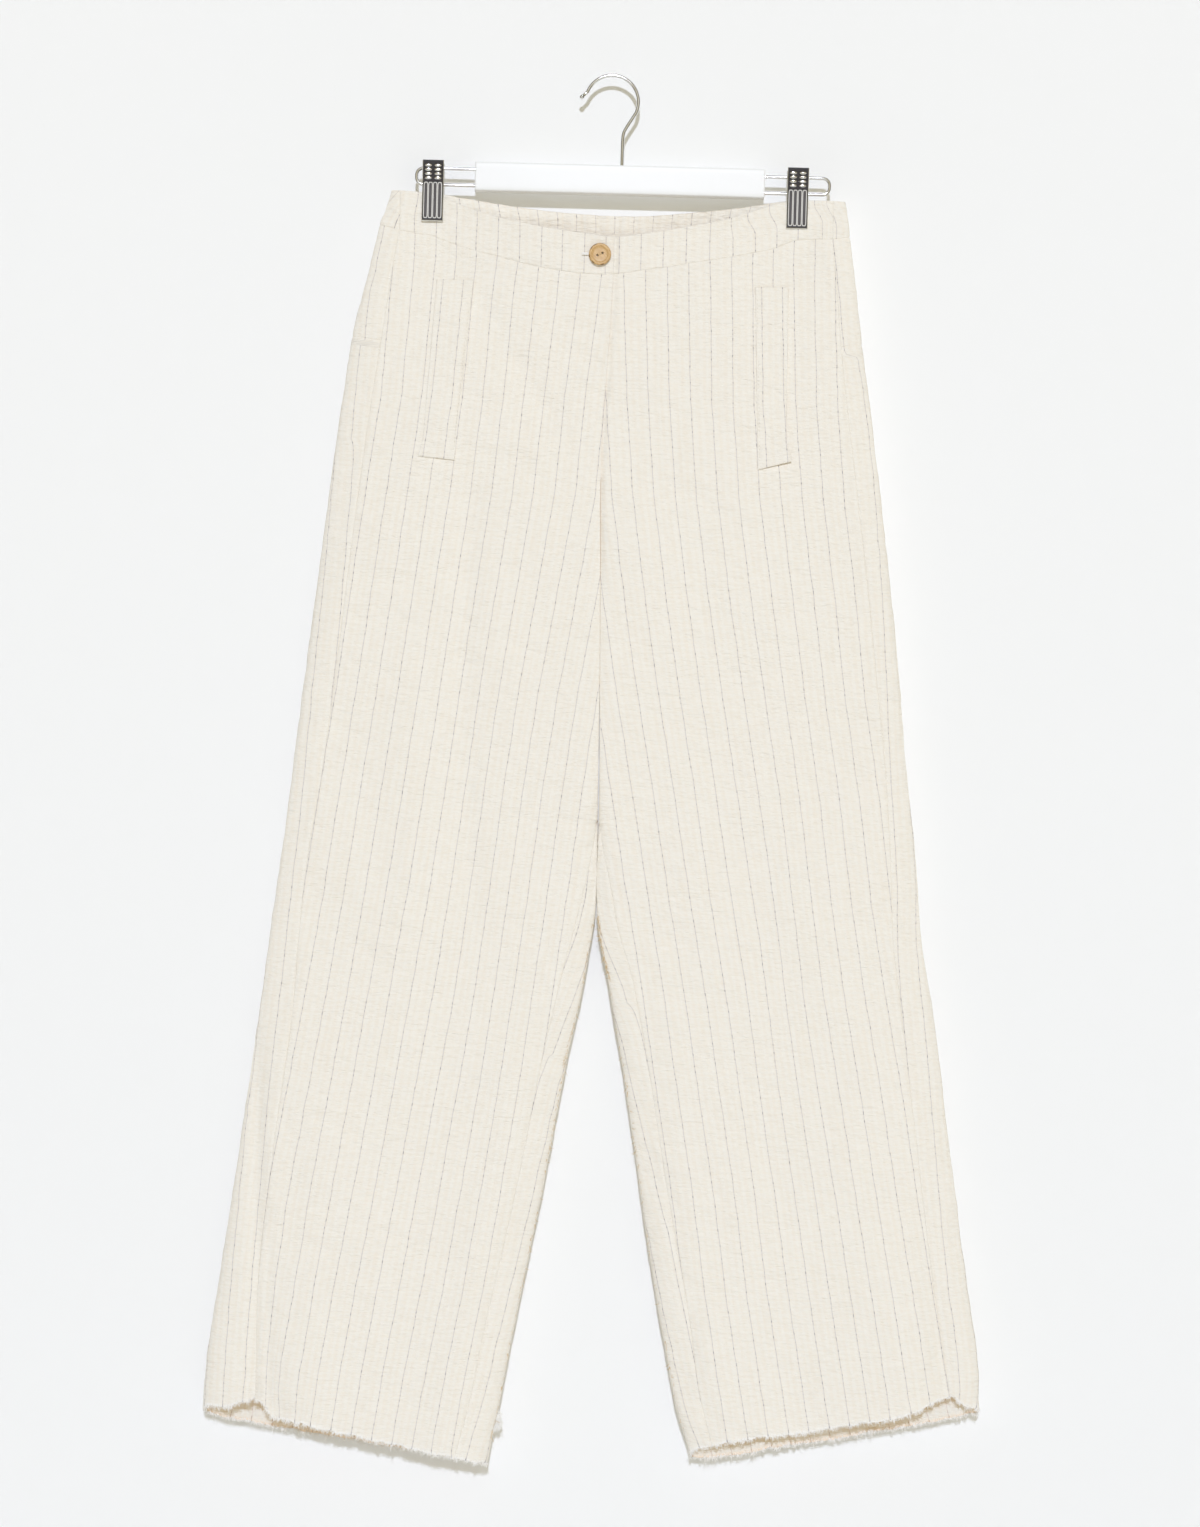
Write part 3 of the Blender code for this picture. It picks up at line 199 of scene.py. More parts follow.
# Creases: face (-1 front, 1 back), X and Z of both ends, half-width, and rise (below 0 for a trough).
CREASES = (
    (-1, -108, -178, -78, -225, 11, -2.2), (-1, -78, -225, -38, -285, 10, -2.6),
    (-1, -122, -215, -80, -275, 12, 1.6), (-1, -80, -275, -48, -312, 10, 1.5),
    (-1, -106, -330, -110, -500, 11, -2.6), (-1, -110, -500, -96, -690, 13, -2.4),
    (-1, -150, -460, -146, -700, 17, 1.8), (-1, -266, -800, -261, -1090, 6.5, -3.2),
    (-1, -246, -860, -240, -1090, 10, 2.2), (-1, -253, -940, -250, -1090, 3.5, -1.2),
    (-1, -276, -1010, -272, -1086, 3.5, -0.6), (-1, -28, -190, 0, -196, 3, -0.6),
    (-1, -24, -206, 0, -209, 3, -0.5), (-1, -24, -253, 0, -260, 3, -0.6),
    (-1, -30, -300, 2, -307, 4, -0.7), (-1, -33, -185, -37, -290, 5, -0.5),
    (-1, 162, -105, 182, -112, 2.4, -0.8), (-1, 170, -116, 186, -124, 3.0, 0.6),
    (-1, -186, -118, -180, -126, 4.0, 0.9), (-1, -140, -237, -96, -246, 3.5, -0.45),
    (-1, -118, -260, -78, -273, 3.5, -0.4), (-1, -146, -304, -122, -296, 3, -0.3),
    (-1, 122, -249, 154, -256, 3.5, -0.35), (-1, 118, -269, 152, -277, 3.5, -0.4),
    (-1, 132, -300, 152, -289, 3, -0.45), (-1, 112, -160, 156, -262, 17, -0.7),
    (-1, 66, -330, 134, -392, 17, -0.6), (-1, 40, -250, 96, -330, 20, 0.5),
    (-1, 90, -936, 126, -932, 4, -0.5), (-1, 96, -960, 120, -968, 4, -0.4),
    (-1, 100, -1016, 140, -1022, 6, -0.7), (-1, 272, -1066, 300, -1006, 6, -1.0),
    (-1, 290, -1068, 306, -1012, 5, -0.8), (-1, 283, -1070, 318, -1040, 6, 0.7),
    (-1, 150, -700, 168, -900, 18, -0.8), (-1, 196, -560, 226, -860, 20, 0.7),
    (-1, 236, -420, 262, -700, 15, -0.6), (1, -120, -260, -60, -330, 16, -1.1),
    (1, 118, -270, 52, -345, 16, -1.0), (1, -60, -330, -14, -420, 13, -0.9),
    (1, 52, -345, 12, -430, 13, -0.9), (1, -150, -360, -160, -620, 18, 1.0),
    (1, 160, -340, 172, -600, 18, 0.9), (1, -110, -640, -150, -960, 17, -1.1),
    (1, 128, -620, 176, -940, 17, -1.1), (1, -220, -900, -232, -1085, 10, -1.2),
    (1, 262, -900, 276, -1068, 10, -1.1), (1, -96, -1010, -60, -1040, 5, -0.5),
    (1, 120, -1020, 92, -1046, 5, -0.5), (1, -70, -520, 0, -470, 8, -0.6),
    (1, 72, -520, 4, -470, 8, -0.6),
)
# Down the front: X of the first pinstripe and of the ninth, and how far the sixth is off even spacing.
TRACK = "z first ninth bend"
FRONT_TRACKS = {
    -1: Table(
        TRACK,
        (-150.0, -4.0, -139.5, 0.0), (-180.0, -6.4, -141.4, 0.0), (-260.0, -15.4, -147.0, 0.0),
        (-340.0, -21.3, -156.7, 0.0), (-420.0, -33.9, -167.2, 0.0), (-500.0, -47.1, -177.6, 0.0),
        (-580.0, -57.9, -188.7, 0.0), (-660.0, -67.1, -198.8, 0.0), (-740.0, -76.8, -210.8, 0.0),
        (-820.0, -86.9, -223.6, 0.0), (-900.0, -98.5, -236.7, 0.0), (-980.0, -110.7, -246.7, -3.0),
        (-1050.0, -123.2, -250.2, -6.8), (-1112.0, -133.0, -251.0, -10.1),
    ),
    1: Table(
        TRACK,
        (-150.0, 13.0, 150.6, 1.2), (-180.0, 13.9, 151.5, 1.5), (-260.0, 18.3, 154.6, 0.4),
        (-340.0, 25.2, 162.1, 0.0), (-420.0, 36.8, 173.6, 0.3), (-500.0, 50.1, 184.8, 1.9),
        (-580.0, 65.0, 198.4, 1.4), (-660.0, 79.1, 209.4, 0.3), (-740.0, 94.1, 223.3, -1.9),
        (-820.0, 107.6, 238.9, -1.8), (-900.0, 121.7, 253.0, -0.7), (-980.0, 133.6, 268.2, -0.3),
        (-1050.0, 145.9, 281.0, 0.0), (-1100.0, 155.0, 290.0, 0.0),
    ),
}
TRACKS_APART, SIXTH = 8, 5  # pinstripes from the first to the ninth, and to the sixth
INNER_PITCH = {-1: 16.0, 1: 16.9}  # of those on the inner side of the first
# Where a soft crease pushes the front's pinstripes aside: X, Z, its reach in each, and how far.
BOWS = (
    (-87.0, -183.0, 30.0, 40.0, -1.8), (-120.0, -590.0, 45.0, 150.0, 3.1), (-111.0, -751.0, 25.0, 60.0, 1.6),
    (-238.0, -1055.0, 15.0, 45.0, -3.4), (140.0, -705.0, 28.0, 100.0, 2.8),
)
# How far the back's nearest pinstripes have come round the outer and the inner fold, at a height.
BACK_OUTER = {
    -1: Table(
        "z inset",
        (-125.0, 4.0), (-180.0, 6.0), (-218.0, 11.0), (-222.0, -4.5), (-300.0, 0.0), (-420.0, 5.8),
        (-500.0, 7.9), (-580.0, 10.5), (-740.0, 15.3), (-820.0, 17.1), (-900.0, 21.4), (-980.0, 27.0),
        (-1050.0, 32.8), (-1095.0, 33.5),
    ),
    1: Table(
        "z inset",
        (-125.0, 13.7), (-218.0, 15.0), (-222.0, 4.7), (-300.0, 3.7), (-420.0, 8.2), (-500.0, 11.4),
        (-580.0, 14.5), (-660.0, 17.6), (-740.0, 24.6), (-820.0, 27.0), (-900.0, 30.6), (-980.0, 33.0),
        (-1050.0, 32.5), (-1095.0, 31.5),
    ),
}
BACK_INNER = {
    -1: Table(
        "z inset",
        (-606.0, -28.0), (-643.0, -20.0), (-700.0, -9.0), (-740.0, -2.5), (-780.0, 3.0), (-860.0, 7.0),
        (-940.0, 9.1), (-1020.0, 12.3), (-1095.0, 18.2),
    ),
    1: Table(
        "z inset",
        (-606.0, -24.0), (-643.0, -15.6), (-700.0, -2.4), (-740.0, 3.1), (-780.0, 5.0), (-820.0, 9.1),
        (-860.0, 12.6), (-900.0, 17.0), (-980.0, 20.0), (-1095.0, 23.5),
    ),
}
BACK_PITCH = 16.6
BACK_COUNT = {-1: 18, 1: 19}  # pinstripes between the two on a leg's back
BACK_COUNT_FROM, BACK_COUNT_FULL = -250.0, -700.0  # heights over which the inner one takes over
BAND_STRIPES = {
    -1: (-2.0, -19.0, -36.8, -53.8, -71.6, -89.2, -106.8, -123.3, -139.5, -157.0, -175.8),
    1: (9.1, 26.6, 44.4, 63.2, 82.2, 101.0, 119.0, 136.4, 153.4, 173.0, 182.6, 196.0),
}
BAND_BENT = {-1: (2.5, 140.0), 1: (-6.8, 92.0)}  # shift of the band's stripes near a clip, and where from
BAND_BENT_OVER, BAND_BENT_FROM, BAND_BENT_HIGH = 20.0, 0.42, 0.5
BACK_BAND_PITCH = PITCH * 0.95
BACK_BAND_TURNED = 0.58  # share of the back waistband's height below which its wrong side is another layer

# ---- curves and fields -----------------------------------------------------------------------------------


def smooth(x: Array | float) -> Array:
    """0 below 0, 1 above 1, and 3x^2 - 2x^3 between."""
    x = np.clip(x, 0.0, 1.0)
    return x * x * (3.0 - 2.0 * x)


def unit(vectors: Array) -> Array:
    """Vectors along the last axis, brought to a length of 1."""
    return vectors / np.linalg.norm(vectors, axis=-1, keepdims=True)


def running(steps: Array) -> Array:
    """Running total along the last axis, from 0."""
    total = np.cumsum(steps, axis=-1)
    return np.concatenate([0 * total[..., :1], total], axis=-1)


def arc_along(points: Array) -> Array:
    """Length of a line up to each of its points, which lie along the last axis but one."""
    return running(np.linalg.norm(np.diff(points, axis=-2), axis=-1))


def crowded(first: Array, count: int, last: Array) -> Array:
    """Places close together at two ends, with a count of even ones from the first end's last to the other."""
    return np.concatenate([first[:-1], np.linspace(first[-1], last[0], count), last[1:]])


def rows_interp(wanted: Array, places: Array, values: Array) -> Array:
    """Linear interpolation row by row: (rows, columns) wanted, and (rows, samples) places and values."""
    return np.stack([np.interp(w, p, v) for w, p, v in zip(wanted, places, values)])


def stripe_uv(number: Array, z: Array) -> Array:
    """Coordinates of the stripe pattern: the pinstripe's number, and height over the pitch."""
    return np.stack([number, -z / PITCH], axis=-1)


def front_stripes(side: int, x: Array, z: Array) -> Array:
    """Stripe number on a leg's front: straight in X from the first to the sixth, and on to the ninth.

    Formula: X first loses the bows' shifts, each a Gaussian about its middle; on the inner side of the
    first the pitch is even.
    """
    first, ninth, bend = (FRONT_TRACKS[side].read(name, "z", z) for name in ("first", "ninth", "bend"))
    for bow_x, bow_z, reach_x, reach_z, shift in BOWS:
        x = x - shift * np.exp(-(((x - bow_x) / reach_x) ** 2 + ((z - bow_z) / reach_z) ** 2))
    sixth = first + (ninth - first) * SIXTH / TRACKS_APART + bend
    near = (x - first) / (sixth - first) * SIXTH
    far = SIXTH + (x - sixth) / (ninth - sixth) * (TRACKS_APART - SIXTH)
    within = np.where(side * (x - sixth) < 0, near, far)
    return np.where(side * (x - first) < 0, side * (x - first) / INNER_PITCH[side], within)


def band_stripes(side: int, x: Array, band: Array) -> Array:
    """Stripe number on the front waistband, whose stripes shift towards the top near a clip."""
    shift, start = BAND_BENT[side]
    bent = smooth((side * x - start) / BAND_BENT_OVER) * smooth((band - BAND_BENT_FROM) / BAND_BENT_HIGH)
    moved, places = side * (x - shift * bent), side * np.array(BAND_STRIPES[side])
    return np.interp(moved, places, np.arange(len(places))) + np.minimum(moved - places[0], 0) / PITCH


@dataclass(frozen=True)
class Crinkle:
    """A seeded, endlessly repeating sheet of soft random relief, about 1 high, read in millimetres."""

    seed: int
    long: float  # how far a ripple reaches along the first direction
    short: float  # and along the second
    turn: float = 0.0  # degrees by which the first direction is turned
    cell: float = 1.25
    cells: int = 512

    def sheet(self) -> Array:
        """White noise blurred by a Gaussian of the two lengths, in the frequency domain, scaled to 1 rms."""
        noise = np.random.default_rng(self.seed).standard_normal((self.cells, self.cells))
        rate = 2 * math.pi * np.fft.fftfreq(self.cells, self.cell)
        blur = np.exp(-0.5 * ((rate[:, None] * self.long) ** 2 + (rate[None, :] * self.short) ** 2))
        found = np.real(np.fft.ifft2(np.fft.fft2(noise) * blur))
        found -= found.mean()
        return found / found.std()

    def at(self, a: Array, b: Array) -> Array:
        """The relief at (a, b): the repeating sheet's four nearest cells, mixed by nearness."""
        turn = math.radians(self.turn)
        first = (a * math.cos(turn) + b * math.sin(turn)) / self.cell
        second = (b * math.cos(turn) - a * math.sin(turn)) / self.cell
        i, j = np.floor(first).astype(int), np.floor(second).astype(int)
        u, v = first - i, second - j
        sheet, n = self.sheet(), self.cells
        low = sheet[i % n, j % n] * (1 - u) + sheet[(i + 1) % n, j % n] * u
        high = sheet[i % n, (j + 1) % n] * (1 - u) + sheet[(i + 1) % n, (j + 1) % n] * u
        return low * (1 - v) + high * v


# ---- the cloth's form ------------------------------------------------------------------------------------


def from_clips(x: Array) -> Array:
    """How far X is inside the clips' squeezed stretch (more than 0) or outside it (less)."""
    return CLIP_REACH - np.abs(x - MIDDLE_X)


def hanging(x: Array, power: float = 2.0) -> Array:
    """1 at the waist's middle and 0 past the clips: h/2 + sqrt(h^2 + soft)/2, h = 1 - distance^power."""
    high = 1.0 - (np.abs(x - MIDDLE_X) / CLIP_REACH) ** power
    return 0.5 * (high + np.sqrt(high * high + HANGING_SOFT))


def waist_depth(x: Array, middle: float) -> Array:
    """Half the waist's depth: squeezed in the clips, a parabola between them, a little full outside."""
    inside = np.clip((from_clips(x) - CLIP_HALF) / (CLIP_REACH - CLIP_HALF), 0.0, 1.0)
    outside = smooth((-from_clips(x) - CLIP_HALF) / PUFF_GROWS)
    return SQUEEZED + (middle - SQUEEZED) * (1.0 - (1.0 - inside) ** 2) + SIDE_PUFF * outside


@dataclass(frozen=True)
class LegForm:
    """The form of one side of the trousers: a surface over the share of the length and t across.

    t is -1 at the inner fold and 1 at the outer; face is -1 on the front and 1 on the back.
    """

    side: int

    def column(self, name: str, share: Array) -> Array:
        """A station column at shares of the length."""
        return STATIONS[self.side].eased(name, "share", share)

    def outer(self, share: Array, band: Array | float = 0.0) -> Array:
        """X of the outer fold; the waistband narrows towards its top edge."""
        return self.column("outer", share) - self.side * band * BAND_TAPER[self.side]

    def inner(self, share: Array) -> Array:
        """X of the inner fold, or of the centre seam above the crotch."""
        return self.column("inner", share) + self.side * SEAM_GAP / 2

    def height(self, share: Array, shut: Array, name: str, x: Array, band: Array | None = None) -> Array:
        """Height of a face.

        Formula: straight between the folds' heights, which run straight from waist seam to hem, and
        near the waist sagging between the clips; in the waistband straight on up to its top edge.

        Args:
            share: Share of the way from waist seam to hem.
            shut: 0 at the outer fold, 1 at the inner.
            name: "front" or "back".
            x: X there.
            band: 0 at the waist seam to 1 at the waistband's top, or None below the seam.

        Returns:
            Z there.
        """
        outer, inner = HEIGHTS[self.side, name]
        z_outer, z_inner = (start + (hem - start) * share for start, hem in (outer, inner))
        fade = np.clip(1 - share / SEAM_SAG_FADES, 0, 1) ** 2
        z = z_outer + (z_inner - z_outer) * shut + (inner[0] - outer[0]) * (hanging(x) - shut) * fade
        z = z + WAIST.read("seam_" + name, "x", x) * fade
        if band is None:
            return z
        sag, power = TOP_SAGS[name]
        top = BAND_TOP - sag * hanging(x, power) + WAIST.read("top_" + name, "x", x)
        return z + SEAM_GAP + (top - z - SEAM_GAP) * band

    def openness(self, share: Array) -> Array:
        """1 where front and back stay apart at the centre, a quarter circle down to 0 at the crotch."""
        z_inner = self.height(share, np.ones_like(share), "front", self.inner(share))
        u = np.clip((CROTCH_CLOSES_FROM - z_inner) / (CROTCH_CLOSES_FROM - CROTCH_Z), 0.0, 1.0)
        return np.where(u < SHUT_FROM, np.sqrt(1 - u * u), 0.0)

    def long_folds(self, share: Array, t: Array, face: Array, lens: Array, wide: Array) -> Array:
        """The long folds in Y: each a Gaussian ridge or trough that grows down to the hem."""
        across = (t + 1) / 2
        total = np.zeros(np.broadcast_shapes(share.shape, t.shape))
        for fold_face, at_start, at_hem, half_wide, rise, starts in FOLDS[self.side]:
            grown = np.clip((share - starts) / (1 - starts), 0.0, 1.0)
            place = at_start + (at_hem - at_start) * grown
            shape = np.exp(-(((across - place) * wide / half_wide) ** 2)) * (face == fold_face)
            total = total + fold_face * rise * smooth(grown * GROWN_BY) * shape * lens
        return total

    def surface(self, share: Array, t: Array, face: Array, band: Array | None = None) -> Array:
        """Points of the form.

        Formula: X is linear in t. Y is the face's depth times (1 - |t|^p)^(1/p), which makes flat
        faces and round folds, plus the long folds and the back's gathers; near the hem the back comes
        forward. Z blends the front's height into the back's by Y, with the hem's notch at the side seam.

        Args:
            share: Shares of the length, broadcast against t.
            t: Places across, from -1 to 1.
            face: -1 or 1 for each place.
            band: Share of the waistband's height, or None below the waist seam.

        Returns:
            (..., 3) points in millimetres.
        """
        outer, inner = self.outer(share, 0.0 if band is None else band), self.inner(share)
        x = (outer + inner) / 2 + (outer - inner) / 2 * t
        lens = np.clip(1 - np.abs(t) ** FOLD_POWER, 0, 1) ** (1 / FOLD_POWER)
        open_ = self.openness(share)
        lens = np.where(t < 0, open_ + (1 - open_) * lens, lens)
        squeeze = np.clip(1 - share / SQUEEZE_FADES, 0, 1) ** 2
        depths = (
            (1 - squeeze) * self.column(name, share) + squeeze * waist_depth(x, middle)
            for name, middle in MIDDLE_DEPTHS.items()
        )
        deep = np.where(face < 0, *depths)
        y = face * lens * deep + self.long_folds(share, t, face, lens, np.abs(outer - inner))
        blend = 0.5 * (1 + np.clip(y / np.maximum(deep, 1.0), -1, 1))
        z_front, z_back = (self.height(share, (1 - t) / 2, name, x, band) for name in MIDDLE_DEPTHS)
        inward = self.side * (outer - x) - self.column("seam", share) - HEM_NOTCH_ASIDE[self.side]
        grown = np.clip((share - HEM_NOTCH_FADES) / (1 - HEM_NOTCH_FADES), 0, 1)
        wide = np.where(inward > 0, HEM_NOTCH_INNER[self.side], HEM_NOTCH_OUTER[self.side])
        notch = HEM_NOTCH[self.side] * grown**2 * np.exp(-((inward / wide) ** 2)) * (face < 0)
        z = (1 - blend) * z_front + blend * z_back + notch
        y = y - HEM_CLOSES * smooth((share - HEM_CLOSES_FROM) / (1 - HEM_CLOSES_FROM)) * lens * (face > 0)
        y = y + self.gathers(share, x, outer, face, band)
        return np.stack(np.broadcast_arrays(x, y, z), axis=-1)

    def gathers(self, share: Array, x: Array, outer: Array, face: Array, band: Array | None) -> Array:
        """Even sine waves where the elastic draws in the back, fading down the yoke."""
        fade = np.clip(1 - share / GATHER_FADES, 0, 1) ** 2
        free = smooth((np.abs(from_clips(x)) - CLIP_HALF) / GATHER_GROWS)
        free = free * smooth((np.abs(x - outer) - FOLD_PLAIN) / FOLD_GROWS_OVER)
        rise = GATHER_RISE * fade * free * (face > 0)
        rise = rise * np.sin(2 * math.pi * GATHERS * (x - MIDDLE_X) / GATHERED_WIDTH)
        if band is None:
            return rise
        return rise * (GATHER_AT_EDGES + (1 - GATHER_AT_EDGES) * np.sin(math.pi * band))

    def front_at(self, x: Array, z: Array) -> Array:
        """Points of the front that have X and Z, by Newton steps on its nearly even height."""
        share = (SEAM_MIDDLE_FRONT - z) / LEG_LONG
        for _ in range(NEWTON_STEPS + 1):
            outer, inner = self.outer(share), self.inner(share)
            t = (2 * x - outer - inner) / (outer - inner)
            found = self.surface(share, t, -np.ones_like(t))
            share = share + (found[..., 2] - z) / LEG_LONG
        return found


class Rings:
    """Many rings of one form at once, with their outward directions and arc lengths."""

    def __init__(self, form: LegForm, share: Array, band: Array | None = None) -> None:
        """Samples the rings.

        Args:
            form: The side's form.
            share: (rows,) shares of the length.
            band: (rows,) shares of the waistband's height, or None below the waist seam.
        """
        self.form, self.side, self.share = form, form.side, share
        angle = np.linspace(math.pi, -2 * math.pi, RING_SAMPLES)
        t = np.sign(np.cos(angle)) * np.abs(np.cos(angle)) ** (2 / FOLD_POWER)
        face = np.where(np.sin(angle) >= 0, -1.0, 1.0)
        high = None if band is None else band[:, None]
        self.points = form.surface(share[:, None], t[None], face[None], high)
        self.open = form.openness(share)
        along = np.gradient(self.points[..., :2], axis=1)
        last = 2 * RING_THIRD - 1  # where a ring stops above the crotch
        apart = self.open > 0
        along[apart, last] = self.points[apart, last, :2] - self.points[apart, last - 1, :2]
        along /= np.maximum(np.linalg.norm(along, axis=-1, keepdims=True), 1e-9)
        self.outward = np.stack([along[..., 1], -along[..., 0], 0 * along[..., 0]], axis=-1) * self.side
        self.arc = arc_along(self.points)
        cosine = (along[:, 1:] * along[:, :-1]).sum(axis=-1)
        self.turned = running(np.arccos(np.clip(cosine, -1, 1)))

    def arc_at_x(self, x: Array, inner_end: bool = False) -> Array:
        """Arc where each ring's front has an X, on its first pass or on its last one by the inner fold."""
        part = slice(2 * RING_THIRD, None) if inner_end else slice(0, RING_THIRD)
        places = self.side * self.points[:, part, 0]
        return rows_interp(self.side * np.asarray(x)[:, None], places, self.arc[:, part])[:, 0]

    def seam_arc(self) -> Array:
        """Arc where the side seam crosses the front of each ring."""
        return self.arc_at_x(self.form.outer(self.share) - self.side * self.form.column("seam", self.share))

    def centre_back_arc(self) -> Array:
        """Arc where each ring meets the centre back."""
        return self.arc[:, 2 * RING_THIRD - 1]

    def inseam_arcs(self) -> tuple[Array, Array]:
        """Arcs of the inner seam: from the ring's start, and again near its end."""
        inset = np.maximum(self.form.column("inseam", self.share), INSEAM_LEAST)
        x = self.form.inner(self.share) + self.side * inset
        shut = self.open <= 0
        start = np.where(shut, self.arc_at_x(x), 0.0)
        return start, np.where(shut, self.arc_at_x(x, inner_end=True), self.centre_back_arc())

    def inset_arc(self, tables: dict, outer: bool) -> Array:
        """Arc of what has come a table's inset round a fold to the front; less than 0 is still behind."""
        inset = tables[self.side].read("inset", "z", self.points[:, RING_THIRD, 2])
        way = 1 if outer else -1
        at_fold = self.arc[:, RING_THIRD] if outer else self.centre_back_arc()
        fold_x = self.form.outer(self.share) if outer else self.form.inner(self.share)
        front = self.arc_at_x(fold_x - way * self.side * np.maximum(inset, 0.0), inner_end=not outer)
        return np.where(inset >= 0, front, at_fold - way * inset)

    def stripes(self, arcs: Array) -> Array:
        """Stripe number on a back panel.

        Formula: arc from the pinstripe that comes round the outer fold, over the pitch; down the leg
        and towards the inner fold it eases into arc from the one that comes round that fold, over
        the pitch, plus the count of pinstripes between the two.
        """
        outer, inner = self.inset_arc(BACK_OUTER, True)[:, None], self.inset_arc(BACK_INNER, False)[:, None]
        fold, far = self.arc[:, RING_THIRD, None], self.centre_back_arc()[:, None]
        z = self.points[:, RING_THIRD, 2, None]
        taken = smooth((BACK_COUNT_FROM - z) / (BACK_COUNT_FROM - BACK_COUNT_FULL))
        share = smooth((arcs - fold) / (far - fold)) * taken
        from_inner = (arcs - inner) / BACK_PITCH + BACK_COUNT[self.side]
        return (1 - share) * (arcs - outer) / BACK_PITCH + share * from_inner

    def panel(self, start: Array, end: Array, count: int) -> tuple[Array, Array, Array]:
        """A panel's grid: columns close beside its edges, then even in arc and in turning between.

        Args:
            start: (rows,) arc where the panel starts.
            end: (rows,) arc where it ends.
            count: Columns between those beside the edges.

        Returns:
            (rows, columns) arcs, and the points and unit outward directions there.
        """
        measure = self.arc / STEP_ALONG + self.turned / STEP_TURN
        low = rows_interp((start + EDGE_STEPS[-1])[:, None], self.arc, measure)
        high = rows_interp((end - EDGE_STEPS[-1])[:, None], self.arc, measure)
        between = rows_interp(low + (high - low) * np.linspace(0, 1, count), measure, self.arc)
        close = EDGE_STEPS[:-1]
        arcs = np.concatenate([start[:, None] + close, between, end[:, None] - close[::-1]], axis=1)
        points, out = (
            np.stack([rows_interp(arcs, self.arc, grid[..., k]) for k in range(3)], axis=-1)
            for grid in (self.points, self.outward)
        )
        return arcs, points, unit(out)


# ---- meshes ----------------------------------------------------------------------------------------------


def facing_out(points: Array, faces: Array) -> Array:
    """Closed faces turned outwards: then the triple products of their triangles add up to more than 0."""
    a = points[faces[:, 0]]
    pairs = ((points[faces[:, k]], points[faces[:, k + 1]]) for k in range(1, faces.shape[1] - 1))
    volume = sum((np.cross(a, b) * c).sum() for b, c in pairs)
    return faces[:, ::-1] if volume < 0 else faces


def new_object(
    name: str, points: Array, faces: Array, uv: Array | None = None, sharp: float = 50.0
) -> bpy.types.Object:
    """Writes a mesh and links its object.

    Args:
        name: The piece's name.
        points: (n, 3) points in millimetres.
        faces: (faces, 3) or (faces, 4) indices.
        uv: (n, 2) coordinates of the stripe pattern, or None.
        sharp: Degrees between two faces past which their edge is kept sharp.

    Returns:
        The new object, at the origin.
    """
    mesh = bpy.data.meshes.new(name)
    mesh.vertices.add(len(points))
    mesh.vertices.foreach_set("co", np.ascontiguousarray(points * MM, np.float32).ravel())
    mesh.loops.add(faces.size)
    mesh.loops.foreach_set("vertex_index", faces.astype(np.int32).ravel())
    mesh.polygons.add(len(faces))
    mesh.polygons.foreach_set("loop_start", np.arange(0, faces.size, faces.shape[1], dtype=np.int32))
    mesh.update(calc_edges=True)
    if uv is not None:
        layer = mesh.uv_layers.new(name="stripe")
        layer.data.foreach_set("uv", uv[faces.ravel()].astype(np.float32).ravel())
    mesh.shade_smooth()
    mesh.set_sharp_from_angle(angle=math.radians(sharp))
    return linked(name, mesh)


def linked(name: str, data: bpy.types.ID) -> bpy.types.Object:
    """A new object in the scene."""
    thing = bpy.data.objects.new(name, data)
    bpy.context.scene.collection.objects.link(thing)
    return thing


def dress(thing: bpy.types.Object, finish: bpy.types.Material, slot: str, *nodes: str) -> bpy.types.Object:
    """Gives a piece its finish and its body, and hides the nodes that it stands for."""
    thing.data.materials.append(finish)
    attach(thing, "root")
    if nodes:
        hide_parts(*nodes)
    thing.data.calc_loop_triangles()
    LOG.info("%s: %d triangles", thing.name, len(thing.data.loop_triangles))
    return thing


def piece(
    name: str, mesh: tuple, finish: bpy.types.Material, slot: str, *nodes: str, sharp: float = 50.0
) -> None:
    """Writes points and faces as a finished piece."""
    dress(new_object(name, *mesh, sharp=sharp), finish, slot, *nodes)


def shell(name: str, outside: Array, inside: Array, uv: Array, uv_inside: Array) -> bpy.types.Object:
    """A closed thin shell: two grids of the same shape and the rim between their borders.

    Args:
        name: The piece's name.
        outside: (rows, columns, 3) points of the face side.
        inside: The same for the wrong side.
        uv: (rows, columns, 2) stripe coordinates.
        uv_inside: The same for the wrong side.

    Returns:
        The new object.
    """
    rows, columns = outside.shape[:2]
    count = rows * columns
    points = np.concatenate([outside.reshape(-1, 3), inside.reshape(-1, 3)])
    corner = np.arange(count).reshape(rows, columns)
    border = np.concatenate([corner[0, :-1], corner[:-1, -1], corner[-1, :0:-1], corner[:0:-1, 0]])
    after = np.roll(border, -1)
    quads = np.stack([corner[:-1, :-1], corner[:-1, 1:], corner[1:, 1:], corner[1:, :-1]], axis=-1)
    quads = quads.reshape(-1, 4)
    rim = np.stack([border, border + count, after + count, after], axis=-1)
    faces = facing_out(points, np.concatenate([quads, quads[:, ::-1] + count, rim]))
    return new_object(name, points, faces, np.concatenate([uv.reshape(-1, 2), uv_inside.reshape(-1, 2)]))


